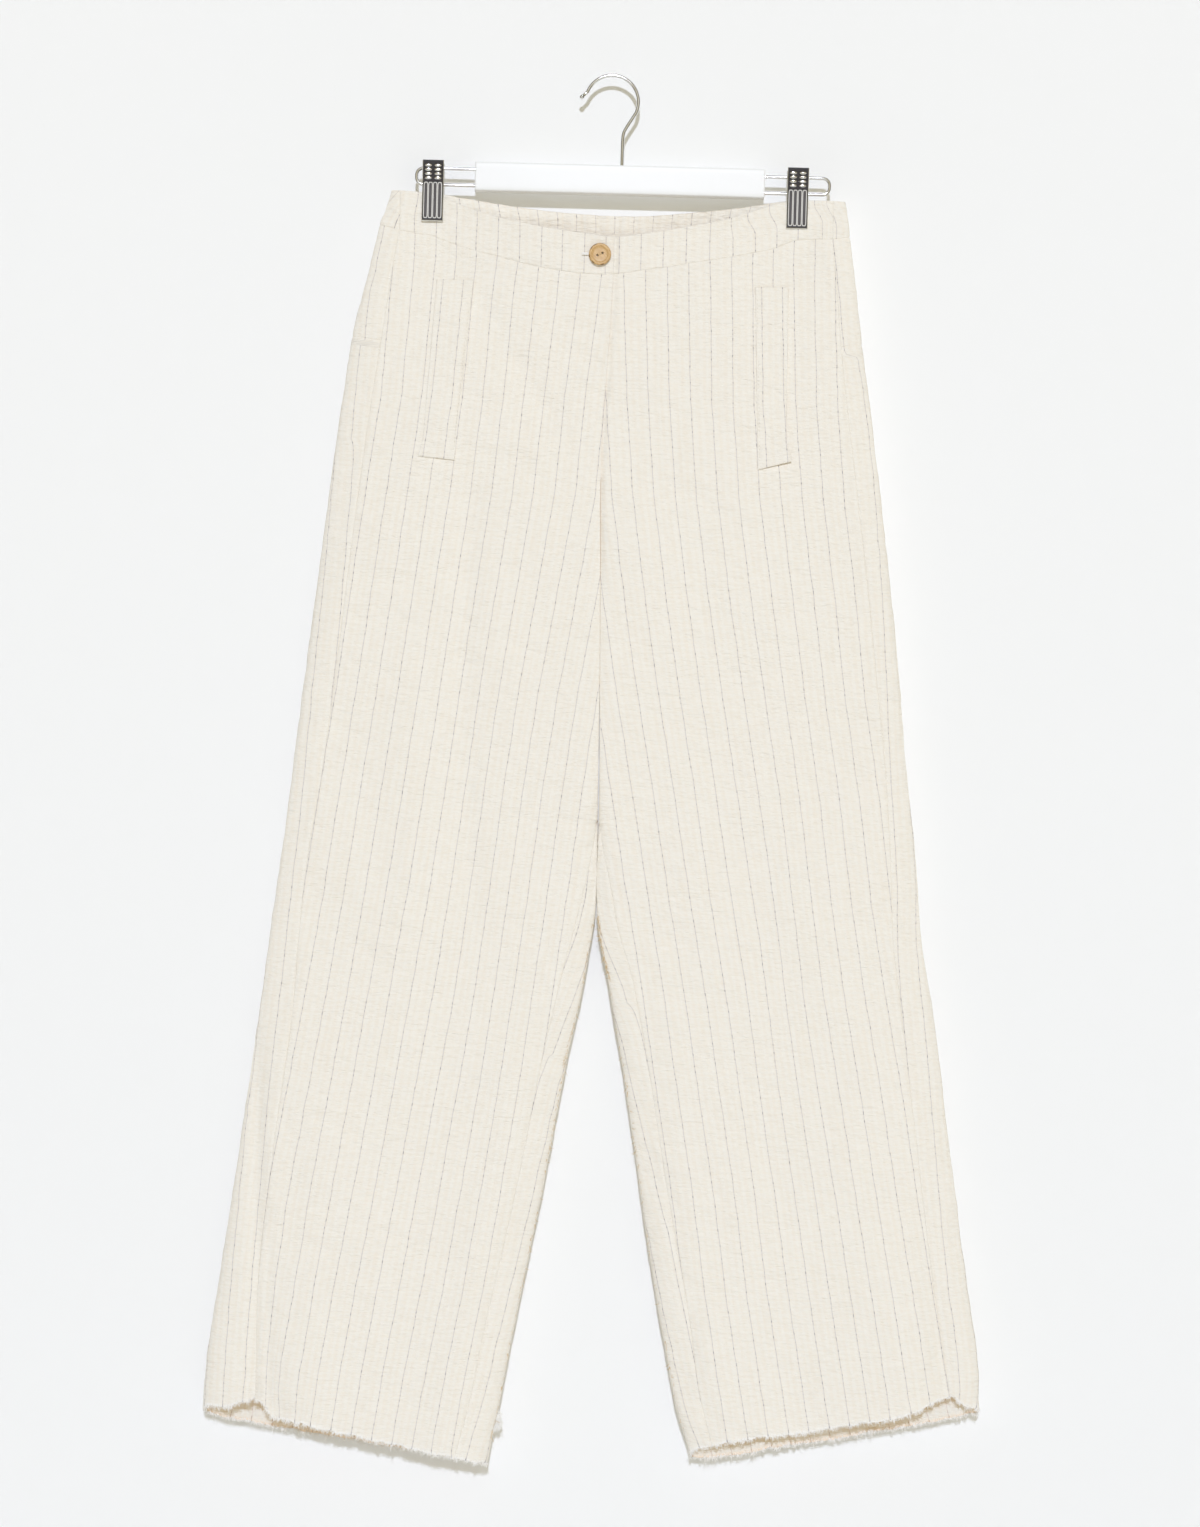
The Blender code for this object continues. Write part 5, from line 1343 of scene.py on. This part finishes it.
    def fringe(self) -> None:
        """Loose thread ends along every cut edge: short tapering fibres that hang and lean at random."""
        rng = np.random.default_rng(7)
        down = np.linspace(0, 1, 4)
        path = np.stack([0.66 * down**2, 0 * down, -down], axis=1)
        shape = sweep(path, np.array([1.0, 1.0, 0.8, 0.3]), 3)
        for line, name in self.hems:
            long = arc_along(line)
            count = int(long[-1] * self.fringe_per_mm)
            where = np.sort(rng.uniform(0, long[-1], count))
            place = np.stack([np.interp(where, long, line[:, k]) for k in range(3)], axis=1)
            place[:, 2] += rng.uniform(0.0, 1.6, count)
            place[:, 1] -= 0.35
            size = rng.gamma(3.0, 0.45, count) + 1.6
            thin = rng.uniform(0.18, 0.30, count)
            lean, spin = rng.normal(0, 0.55, count), rng.uniform(0, 2 * math.pi, count)
            z_axis = unit(np.stack([np.sin(lean), rng.normal(0, 0.2, count), np.cos(lean)], axis=1))
            y_axis = unit(np.cross(z_axis, np.stack([np.cos(spin), np.sin(spin), 0 * spin], axis=1)))
            frames = np.stack([np.cross(y_axis, z_axis), y_axis, z_axis], axis=1)
            frames = frames * np.stack([thin, thin, size], axis=1)[:, :, None]
            made = repeated(*shape, frames, place)
            piece(name.replace("cloth", "fringe"), made, self.finishes.white, "cotton")

    def strays(self, side: int) -> None:
        """Loose brown fibres along a leg's inner fold.

        Formula: each is a short thread on a random arc that starts on the fold and leans outwards.
        """
        rng = np.random.default_rng(40 + side)
        down = np.linspace(0, 1, 7)
        parts = []
        for k in range(self.fibres):
            low, high = (0.545, 0.60) if k < self.at_crotch[side > 0] else (0.60, 0.985)
            share = np.array([[rng.uniform(low, high)]])
            start = LegForm(side).surface(share, np.array([[-0.995]]), np.array([[-1.0]]))[0, 0]
            start = start + np.array([side * rng.uniform(0.0, 1.6), -0.9, 0.0])
            long, turn = rng.uniform(1.6, 4.2), rng.normal(-math.pi / 2, 0.5)
            parts.append(strand(start, long, turn + rng.normal(0, 0.9) * down, -0.05, 0.17 - 0.09 * down))
        piece("fringe_strays_" + SIDE_NAMES[side], joined(parts), self.finishes.fibre, "cotton")

    def tuft(self) -> None:
        """A pale tuft of thread at the hem's inner end of the leg on the viewer's left."""
        rng = np.random.default_rng(77)
        down = np.linspace(0, 1, 7)
        parts = []
        for _ in range(self.fibres):
            start = np.array(self.tuft_at) + rng.normal(0, 1, 3) * np.array(self.tuft_wide)
            angle = rng.normal(-0.55, 0.5) - 1.2 * down * rng.uniform(0.2, 1.4)
            parts.append(strand(start, rng.uniform(3.4, 6.2), angle, 0.0, 0.32 - 0.12 * down))
        piece("fringe_tuft_left", joined(parts), self.finishes.white, "cotton")

    def build(self) -> None:
        """Makes every panel."""
        for side in (-1, 1):
            self.front_band(side)
            self.front(side)
            self.back(side, yoke=True)
            self.back(side, yoke=False)
        self.back_band()
        self.fringe()
        self.strays(-1)
        self.strays(1)
        self.tuft()


# Rows of stitches on the front: side, corners (X, Z), stitch pitch, stitch length and lift off the front.
FLY_CORNERS = ((-25.8, -178.0), (-27.8, -260.0), (-29.4, -290.0), (-24.5, -302.0), (-3.0, -327.0))
SEAMS = (
    (-1, FLY_CORNERS, 2.9, 2.2, 0.0),
    (-1, ((-145.6, -309.0), (-120.6, -311.0)), 2.4, 1.8, 1.5),
    (-1, ((-109.6, -171.0), (-120.6, -309.0)), 3.1, 1.5, 1.5),
    (1, ((126.2, -311.5), (148.6, -304.5)), 2.4, 1.8, 1.5),
    (1, ((121.4, -171.0), (126.8, -309.0)), 3.1, 1.5, 1.5),
)


@dataclass
class Stitching:
    """Rows of short threads that lie in the front's cloth."""

    trousers: Trousers
    thin: float = 0.26
    buried: float = 0.12
    ends_dip: float = 0.35
    flat: float = 0.7
    hole_x: tuple = (-21.0, -14.6)
    hole_y: float = -12.75
    hole_z: float = -144.2
    hole_pitch: float = 0.34
    hole_thin: float = 0.22

    def row(self, side: int, corners: tuple, pitch: float, stitch: float, lift: float) -> tuple[Array, Array]:
        """One row: a flattened thread for each stitch, laid along the line and on the crinkled cloth."""
        corners = np.array(corners)
        long = arc_along(corners)
        share = np.linspace(-0.5, 0.5, 6)
        along = np.arange(pitch / 2, long[-1], pitch)[:, None] + share * stitch
        along -= np.maximum(along[:, -1:] - long[-1], 0)  # no stitch runs past the line's end
        x, z = (np.interp(along, long, corners[:, k]) for k in range(2))
        points = LegForm(side).front_at(x, z)
        facing = np.broadcast_to(-Y_AXIS, points.shape)
        lift = self.trousers.relief(x, points[..., 2]) + self.trousers.creased(points, facing) + lift
        points[..., 1] -= lift - self.buried - self.ends_dip * (2 * np.abs(share)) ** 4
        radii = self.thin * np.array([0.7, 1.0, 1.0, 1.0, 1.0, 0.7])
        return joined([sweep(path, radii, 6, flat=self.flat) for path in points])

    def buttonhole(self) -> tuple[Array, Array]:
        """The buttonhole's near end: a short bar of close threads beside the button."""
        x = np.linspace(*self.hole_x, 8)
        heights = self.hole_z - self.hole_pitch * np.arange(6)
        paths = (np.stack([x, 0 * x + self.hole_y, 0 * x + z], axis=1) for z in heights)
        return joined([sweep(path, self.hole_thin, 6) for path in paths])

    def build(self) -> None:
        """Makes the rows and the buttonhole's end."""
        finishes = self.trousers.finishes
        piece("thread_front_rows", joined([self.row(*seam) for seam in SEAMS]), finishes.ecru, "cotton")
        piece("thread_buttonhole", self.buttonhole(), finishes.white, "cotton")


@dataclass
class Welt:
    """One pocket's long welt, laid over the front.

    The corners are the top's inner and outer one and the foot's inner and outer one.
    """

    side: int
    corners: tuple
    flare: float
    offset: float  # of its pinstripes from the front's
    rows: int = 110
    columns: int = 22
    lift: float = 0.4
    thick: float = 1.0
    foot: float = 0.8

    def build(self, trousers: Trousers) -> None:
        """Lays the welt's grid on the front, lifted, with folded edges and a foot that flares."""
        down = crowded([0.0, 0.003, 0.01, 0.02], self.rows, [0.98, 0.99, 0.997, 1.0])[:, None]
        across = crowded([0.0, 0.012, 0.04, 0.09], self.columns, [0.91, 0.96, 0.988, 1.0])[None]
        top_in, top_out, foot_in, foot_out = (np.array(c)[:, None, None] for c in self.corners)
        top, foot = (1 - across) * top_in + across * top_out, (1 - across) * foot_in + across * foot_out
        x, z = (1 - down) * top + down * foot
        x = x + self.side * self.flare * smooth((down - 0.88) / 0.12) * across
        points = LegForm(self.side).front_at(x, z)
        out = np.broadcast_to(-Y_AXIS, points.shape)
        points = points + out * (self.lift + self.thick + self.foot * smooth((down - 0.9) / 0.1))[..., None]
        wide, long = np.abs(top_out[0] - top_in[0]), np.abs(foot_in[1] - top_in[1])
        distances = (down * long, (1 - down) * long, across * wide, (1 - across) * wide)
        edges = tuple((distance, Edge.FOLDED) for distance in distances)
        uv, name = stripe_uv(front_stripes(self.side, x, z) + self.offset, z), SIDE_NAMES[self.side]
        trousers.cloth(
            "pocket_welt_" + name, points, out, x, edges, uv, self.thick,
            flat=(0.030, 0.145), held="hung", rests_on=["cloth_front_" + name],
        )


WELTS = (
    Welt(-1, ((-108.0, -168.2), (-138.0, -168.2), (-119.6, -314.4), (-146.4, -312.0)), 2.5, 0.49),
    Welt(1, ((119.7, -168.0), (146.6, -167.3), (125.2, -316.0), (147.8, -308.5)), 4.5, 0.57),
)


# ---- button ----------------------------------------------------------------------------------------------


@dataclass
class Button:
    """The waistband's button: a rimmed disc with a dished middle and two holes."""

    finishes: Finishes
    x = -6.5
    z = -145.3
    radius: float = 9.0
    back: float = -11.8
    hole_radius: float = 1.05
    holes_apart: float = 4.2
    turn: float = 25.0
    segments: int = 96
    # How far in from the edge, and how high, from the back's middle round the rim to the face's middle.
    profile: tuple = (
        (9.0, 0.0), (1.6, 0.0), (0.7, 0.25), (0.15, 0.8), (0.0, 1.5), (0.15, 2.2), (0.5, 2.7),
        (1.0, 2.95), (1.6, 3.0), (2.3, 2.8), (3.0, 2.4), (4.0, 2.25), (9.0, 2.2),
    )

    def build(self) -> None:
        """Turns the profile about Y, cuts the two holes and lays a few threads through them."""
        rows = np.array(self.profile)
        along = arc_along(rows)
        fine = np.linspace(0, along[-1], 90)
        inwards, height = (np.interp(fine, along, rows[:, k]) for k in range(2))
        path = np.stack([0 * fine + self.x, self.back - height, 0 * fine + self.z], axis=1)
        turn = 2 * math.pi * np.arange(self.segments) / self.segments
        ring = np.stack([np.cos(turn), 0 * turn, np.sin(turn)], axis=1)
        radii = np.maximum(self.radius - inwards, 0.01)[:, None, None]
        disc = new_object("button_disc", *tube(path[:, None] + radii * ring, path[[0, -1]]), sharp=60.0)
        for k in (-1, 1):
            self.cut_hole(disc, k)
        dress(disc, self.finishes.horn, "button", "button")
        self.threads()

    def hole_place(self, k: int) -> tuple[float, float]:
        """X and Z of a hole."""
        turn, reach = math.radians(self.turn), k * self.holes_apart / 2
        return self.x + reach * math.cos(turn), self.z + reach * math.sin(turn)

    def cut_hole(self, disc: bpy.types.Object, k: int) -> None:
        """Takes a round hole out of the disc and writes the result into its mesh."""
        x, z = self.hole_place(k)
        depth = np.linspace(self.back + 2, self.back - 6, 8)
        path = np.stack([0 * depth + x, depth, 0 * depth + z], axis=1)
        cutter = new_object("hole_cutter", *sweep(path, self.hole_radius, 28, np.array([0.0, 0.0, 1.0])))
        modifier = disc.modifiers.new("hole", "BOOLEAN")
        modifier.operation = "DIFFERENCE"
        modifier.object = cutter
        made = bpy.data.meshes.new_from_object(disc.evaluated_get(bpy.context.evaluated_depsgraph_get()))
        disc.modifiers.clear()
        disc.data = made
        bpy.data.objects.remove(cutter, do_unlink=True)
        made.shade_smooth()
        made.set_sharp_from_angle(angle=math.radians(40))

    def threads(self) -> None:
        """Threads that come up through one hole and go down the other."""
        (x0, z0), (x1, z1) = self.hole_place(-1), self.hole_place(1)
        s = np.linspace(0, 1, 17)
        y = self.back - 2.45 + np.clip(np.abs(s - 0.5) - 0.36, 0, 1) * 14
        x, z = x0 + (x1 - x0) * s, z0 + (z1 - z0) * s
        paths = (np.stack([x, y, z + shift], axis=1) for shift in (-0.35, 0.0, 0.35))
        parts = [sweep(path, 0.2, 8, np.array([0.0, 0.3, 1.0])) for path in paths]
        piece("button_threads", joined(parts), self.finishes.fibre, "cotton")


# ---- hanger ----------------------------------------------------------------------------------------------


@dataclass
class Hanger:
    """The painted bar, the wire loops and the hook."""

    finishes: Finishes
    bar_ends: tuple = (-109.3, 125.4)
    bar_top: float = -71.9
    bar_bottom: float = -95.5
    bar_deep: float = 15.0
    bar_ease: float = 1.4
    bar_power: float = 9.0
    bar_sides: int = 96
    wire_radius: float = 1.35
    wire_heights: tuple = (-77.4, -90.7)
    wire_ends: tuple = (-156.8, 178.0)
    wire_corner: float = 5.8
    wire_sunk: float = 11.0
    hook_wire: float = 1.5
    hook_radius: float = 21.4
    hook_turns: tuple = (159, -24)  # degrees
    ball: tuple = (-24.4, -16.6)
    ball_radius: float = 2.1
    neck: tuple = ((10.6, -43.0), (9.75, -46.5), (9.42, -50.0), (9.35, -54.0), (9.35, -82.9))

    def bar(self) -> None:
        """A superellipse carried along X; its ends ease in over a quarter circle."""
        half_high, half_deep = (self.bar_top - self.bar_bottom) / 2, self.bar_deep / 2
        middle = (self.bar_top + self.bar_bottom) / 2
        turn = np.linspace(0, math.pi / 2, 7)
        ends = self.bar_ease * (1 - np.sin(turn))  # from the flat stretch out to the tip
        inset = self.bar_ease * (1 - np.cos(turn))
        x = np.concatenate([self.bar_ends[0] + ends[::-1], [0.0], self.bar_ends[1] - ends])
        sink = np.concatenate([inset[::-1], [0.0], inset])[:, None]
        turn = 2 * math.pi * np.arange(self.bar_sides) / self.bar_sides
        across, up = (np.sign(c) * np.abs(c) ** (2 / self.bar_power) for c in (np.cos(turn), np.sin(turn)))
        grids = (x[:, None], (half_deep - sink) * across, middle + (half_high - sink) * up)
        rings = np.stack(np.broadcast_arrays(*grids), axis=-1)
        piece("bar_painted", tube(rings), self.finishes.paint, "bar", "hanger_bar", sharp=35.0)

    def loop(self, side: int) -> None:
        """A wire that leaves one end of the bar, turns back and goes in again: two runs and two arcs."""
        name, r = SIDE_NAMES[side], self.wire_corner
        upper, lower = self.wire_heights
        inside = self.bar_ends[side > 0] - side * self.wire_sunk
        corner = self.wire_ends[side > 0] - side * r
        quarter = np.linspace(0, math.pi / 2, 14)
        run = np.linspace(inside, corner, 30)[:-1]
        out, back = side * r * np.sin(quarter), side * r * np.cos(quarter)
        x = np.concatenate([run, corner + out, corner + back, run[::-1]])
        down, on = upper - r + r * np.cos(quarter), lower + r - r * np.sin(quarter)
        z = np.concatenate([0 * run + upper, down, on, 0 * run + lower])
        made = sweep(np.stack([x, 0 * x, z], axis=1), self.wire_radius, 28)
        piece("wire_loop_" + name, made, self.finishes.chrome, "wire", "hanger_wire_" + name)

    def hook(self) -> None:
        """Ball end, a flick, most of a circle, a slanting neck and the stem, rounded at the bends."""
        turn = np.radians(np.linspace(*self.hook_turns, 90))
        curve = self.hook_radius * np.stack([np.cos(turn), np.sin(turn) - 1], axis=1)
        curve[:, 1] += self.hook_wire
        ball = np.array(self.ball)
        step = np.sin(np.linspace(math.pi / 2, -math.pi / 4, 14))
        start = ball + unit(ball - curve[0]) * self.ball_radius * step[:, None]
        rest = self.rounded(np.concatenate([curve[-1:], np.array(self.neck)]))[1:]
        path = np.concatenate([start, [ball + (curve[0] - ball) * 0.75], curve, rest])
        radii = np.full(len(path), self.hook_wire)
        radii[: len(step)] = np.maximum(self.ball_radius * np.sqrt(np.maximum(1 - step**2, 0)), 0.05)
        made = sweep(np.stack([path[:, 0], 0 * path[:, 0], path[:, 1]], axis=1), radii, 32)
        piece("hook_wire", made, self.finishes.chrome, "wire", "hanger_hook")

    @staticmethod
    def rounded(line: Array) -> Array:
        """A denser line through corners, cut at a quarter of each side three times over."""
        for _ in range(3):
            low, high = 0.75 * line[:-1] + 0.25 * line[1:], 0.25 * line[:-1] + 0.75 * line[1:]
            line = np.concatenate([line[:1], np.stack([low, high], axis=1).reshape(-1, 2), line[-1:]])
        return line

    def build(self) -> None:
        """Makes the hanger's pieces."""
        self.bar()
        self.loop(-1)
        self.loop(1)
        self.hook()


@dataclass
class Clip:
    """One clip: a ribbed front jaw on a plated sheet, a plain back jaw and the spring between."""

    side: int
    finishes: Finishes
    top: float
    bottom: float
    wide: float = 17.4
    sheet: float = 1.2
    # Share of the way down a jaw, and how far its inside stands from the middle plane there.
    jaw: Table = Table(
        "share stands",
        (0.0, 8.2), (0.12, 7.2), (0.27, 5.6), (0.42, 4.5), (0.62, 4.0), (0.90, 3.7), (1.0, 3.7),
    )
    rib_apart: float = 3.72
    rib_radius: float = 1.28
    rim_radius: float = 0.42
    lozenge_half: float = 3.2
    lozenge_radius: float = 1.42
    coil_turns: float = 9.5
    coil_radius: float = 3.25
    coil_wire: float = 0.5
    coil_z: float = -90.7
    coil_half: float = 5.0

    def on_jaw(self, aside: Array, share: Array, lift: float) -> Array:
        """Points beside the clip's middle, a share of the way down the front jaw and lifted off it."""
        y = -(self.jaw.eased("stands", "share", share) + self.sheet + lift)
        z = self.top - (self.top - self.bottom) * share
        return np.stack(np.broadcast_arrays(CLIP_X[self.side] + aside, y, z), axis=-1)

    def plate(
        self,
        name: str,
        finish: bpy.types.Material,
        wide: float,
        span: tuple,
        lift: float,
        thick: float,
        *nodes: str,
    ) -> None:
        """A bent sheet that follows the jaw's profile, with rounded edges; clip_rear's is turned to the back.

        Args:
            name: The piece's name.
            finish: Its material.
            wide: Its width.
            span: Shares of the way down where it starts and ends.
            lift: How far its face stands off the jaw's outside.
            thick: Its thickness.
            nodes: The node that it stands for, if any.
        """
        low, high = span
        close = np.array([0.0, 0.004, 0.012, 0.03])
        share = crowded(low + close, 60, high - close[::-1])[:, None]
        across = crowded([-1, -0.985, -0.95, -0.9], 15, [0.9, 0.95, 0.985, 1])[None] * wide / 2
        long = self.top - self.bottom
        beside = wide / 2 - np.abs(across)
        distances = np.broadcast_arrays((share - low) * long, (high - share) * long, beside)
        near = np.clip(1 - np.minimum.reduce(distances) / 0.5, 0, 1)
        drop = 0.45 * thick * (1 - np.sqrt(1 - near**2))
        flip = np.array([1.0, -1.0 if "rear" in name else 1.0, 1.0])
        outside = self.on_jaw(across, share, lift) + drop[..., None] * Y_AXIS
        inside = outside + (thick - 2 * drop)[..., None] * Y_AXIS
        uv = np.stack([np.broadcast_to(across, drop.shape), outside[..., 2]], axis=-1) / PITCH
        made = shell(f"{name}_{SIDE_NAMES[self.side]}", outside * flip, inside * flip, uv, uv)
        dress(made, finish, "clip", *nodes)

    def ribs(self) -> None:
        """Four upright half-round ribs, each with a bright outline, and above them eight lozenges."""
        ribs, outlines, lozenges = [], [], []
        share, s = np.linspace(0.365, 0.945, 40), np.linspace(-1, 1, 40)
        turn = 2 * math.pi * np.arange(61) / 60
        down = 0.655 - 0.29 * np.sign(np.cos(turn)) * np.abs(np.cos(turn)) ** 0.12
        aside = 1.42 * np.sign(np.sin(turn)) * np.abs(np.sin(turn)) ** 0.5
        radii = self.rib_radius * np.maximum(1 - np.abs(s) ** 24, 0.0) ** 0.5 + 0.02
        for k in range(4):
            x = (k - 1.5) * self.rib_apart
            ribs.append(sweep(self.on_jaw(x, share, 0.1), radii, 20, np.array([1.0, 0.0, 0.0])))
            outlines.append(sweep(self.on_jaw(x + aside, down, 0.45), self.rim_radius, 8))
        s = np.sin(np.linspace(-math.pi / 2, math.pi / 2, 21))
        radii = self.lozenge_radius * np.maximum(1 - np.abs(s) ** 2.6, 0.0) ** 0.8 + 0.02
        for row in range(4):
            for k in (-1, 1):
                path = self.on_jaw(k * 3.85 + self.lozenge_half * s, 0 * s + 0.085 + 0.068 * row, 0.05)
                lozenges.append(sweep(path, radii, 20, flat=0.62))
        name, finishes = SIDE_NAMES[self.side], self.finishes
        piece("clip_bumps_" + name, joined(lozenges), finishes.chrome, "clip")
        piece("clip_outlines_" + name, joined(outlines), finishes.pale_tone, "clip")
        piece("clip_ribs_" + name, joined(ribs), finishes.dull, "clip")

    def spring(self) -> None:
        """A coil of round wire about the lower wire, in place of the barrel."""
        s = np.linspace(0, 1, 420)
        angle = 2 * math.pi * self.coil_turns * s
        normal = np.stack([0 * s, np.cos(angle), np.sin(angle)], axis=1)
        path = self.coil_radius * normal
        path[:, 0] = CLIP_X[self.side] + self.coil_half * (2 * s - 1)
        path[:, 2] += self.coil_z
        name = SIDE_NAMES[self.side]
        made = sweep(path, self.coil_wire, 10, normal)
        piece("clip_spring_" + name, made, self.finishes.steel, "clip", "clip_barrel_" + name)

    def build(self) -> None:
        """Makes the clip's pieces."""
        name, chrome = SIDE_NAMES[self.side], self.finishes.chrome
        self.plate("clip_plate", chrome, self.wide, (0.0, 1.0), 0.0, self.sheet, "clip_front_" + name)
        self.plate("clip_panel", self.finishes.enamel, self.wide - 1.1, (0.002, 0.982), 0.22, 0.4)
        self.ribs()
        self.plate("clip_rear", chrome, self.wide - 0.6, (0.0, 1.0), 0.0, self.sheet, "clip_back_" + name)
        self.spring()


# ---- the room --------------------------------------------------------------------------------------------


@dataclass
class Studio:
    """The wall, the floor, the lights and the camera."""

    wall_y: float = 18.5
    floor_z: float = -1750.0
    reach: float = 3000.0
    distance: float = 3000.0
    lens: float = 87.3
    aim: tuple = (4.3, -556.0)
    roll: float = 1.5

    def plane(self, name: str, corners: list, finish: bpy.types.Material) -> bpy.types.Object:
        """A flat quad that belongs to the room."""
        thing = new_object(name, np.array(corners, float), np.array([[0, 1, 2, 3]]))
        thing.data.materials.append(finish)
        return thing

    def backdrop(self) -> None:
        """The wall, seen from the front only, and the floor."""
        far, y, low, high = self.reach, self.wall_y, self.floor_z, self.reach * 0.7
        finish = WallFinish("wall", (0.90, 0.905, 0.90), True).material()
        wall = self.plane("wall", [(-far, y, low), (far, y, low), (far, y, high), (-far, y, high)], finish)
        wall.visible_shadow = False
        finish = WallFinish("floor", (0.84, 0.84, 0.83), False).material()
        self.plane("floor", [(-far, -far, low), (far, -far, low), (far, far, low), (-far, far, low)], finish)

    def lamp(self, name: str, place: tuple, aim: tuple, size: float, power: float, colour: tuple) -> None:
        """A square area light aimed at a point; sizes in metres and watts."""
        light = bpy.data.lights.new(name, "AREA")
        light.size, light.energy, light.color = size, power, colour
        thing = linked(name, light)
        thing.location = place
        x, y, z = unit(np.array(aim) - np.array(place))
        thing.rotation_euler = (math.acos(-z), 0.0, math.atan2(y, x) - math.pi / 2)
        thing.visible_camera = False

    def world(self) -> None:
        """Warm light from all round.

        Formula: its strength is 0.25 + 0.27 x + 0.44 x^2 + 1.3 y^2 + 0.1 z of the direction, and 1 to the
        camera, which sees a pale grey. Bright metal sees it dark brown where a direction lies within 30
        degrees of the wall's plane, which draws dark lines along the sides of round wire.
        """
        world = bpy.data.worlds.new("room")
        bpy.context.scene.world = world
        world.use_nodes = True
        g = Graph(world.node_tree)
        back = g.tree.nodes["Background"]
        paths = g.node("LightPath", {}).outputs
        camera, glossy = Value(g, paths["Is Camera Ray"]), Value(g, paths["Is Glossy Ray"])
        x, y, z = g.split(g.value("TexCoord", {}, "Generated"))
        tilt = x * 0.27 + z * 0.10 + (y * y * 1.30 - 0.75) + x * x * 0.44
        diffuse = g.math("SUBTRACT", 1.0, g.math("MAXIMUM", camera, glossy))
        aside = g.step(g.math("ABSOLUTE", y), 0.80, 0.48) * glossy
        colour = g.mix(aside, (0.500, 0.462, 0.345), (0.07, 0.055, 0.04))
        g.put(back.inputs["Color"], g.mix(camera, colour, (0.88, 0.885, 0.88)))
        g.put(back.inputs["Strength"], tilt * diffuse + 1.0)

    def camera(self) -> None:
        """Square on to the wall, turned by the photograph's slight roll."""
        data = bpy.data.cameras.new("camera")
        data.lens, data.sensor_width, data.sensor_fit, data.clip_end = self.lens, 36.0, "AUTO", 50.0
        thing = linked("camera", data)
        thing.location = (self.aim[0] * MM, -self.distance * MM, self.aim[1] * MM)
        thing.rotation_euler = (math.pi / 2, -math.radians(self.roll), 0.0)
        bpy.context.scene.camera = thing

    def build(self) -> None:
        """Makes the room."""
        self.backdrop()
        self.lamp("key", (0.0, -12.0, 4.4), (0.0, 0.0, -0.6), 0.42, 1000.0, (0.765, 0.824, 1.0))
        self.lamp("behind", (0.6, 3.0, 0.6), (0.0, 0.0, -0.5), 1.2, 30.0, (1.0, 0.98, 0.95))
        self.world()
        self.camera()
        bpy.context.scene.view_settings.view_transform = "Standard"


def main() -> None:
    """Builds the room, the trousers and the hanger in order."""
    logging.basicConfig(level=logging.INFO, format="%(name)s %(message)s")
    Studio().build()
    finishes = Finishes()
    trousers = Trousers(finishes)
    Hanger(finishes).build()
    Clip(-1, finishes, top=-72.0, bottom=-121.0).build()
    Clip(1, finishes, top=-70.6, bottom=-119.7).build()
    trousers.build()
    for welt in WELTS:
        welt.build(trousers)
    Stitching(trousers).build()
    Button(finishes).build()


if __name__ == "__main__":
    main()
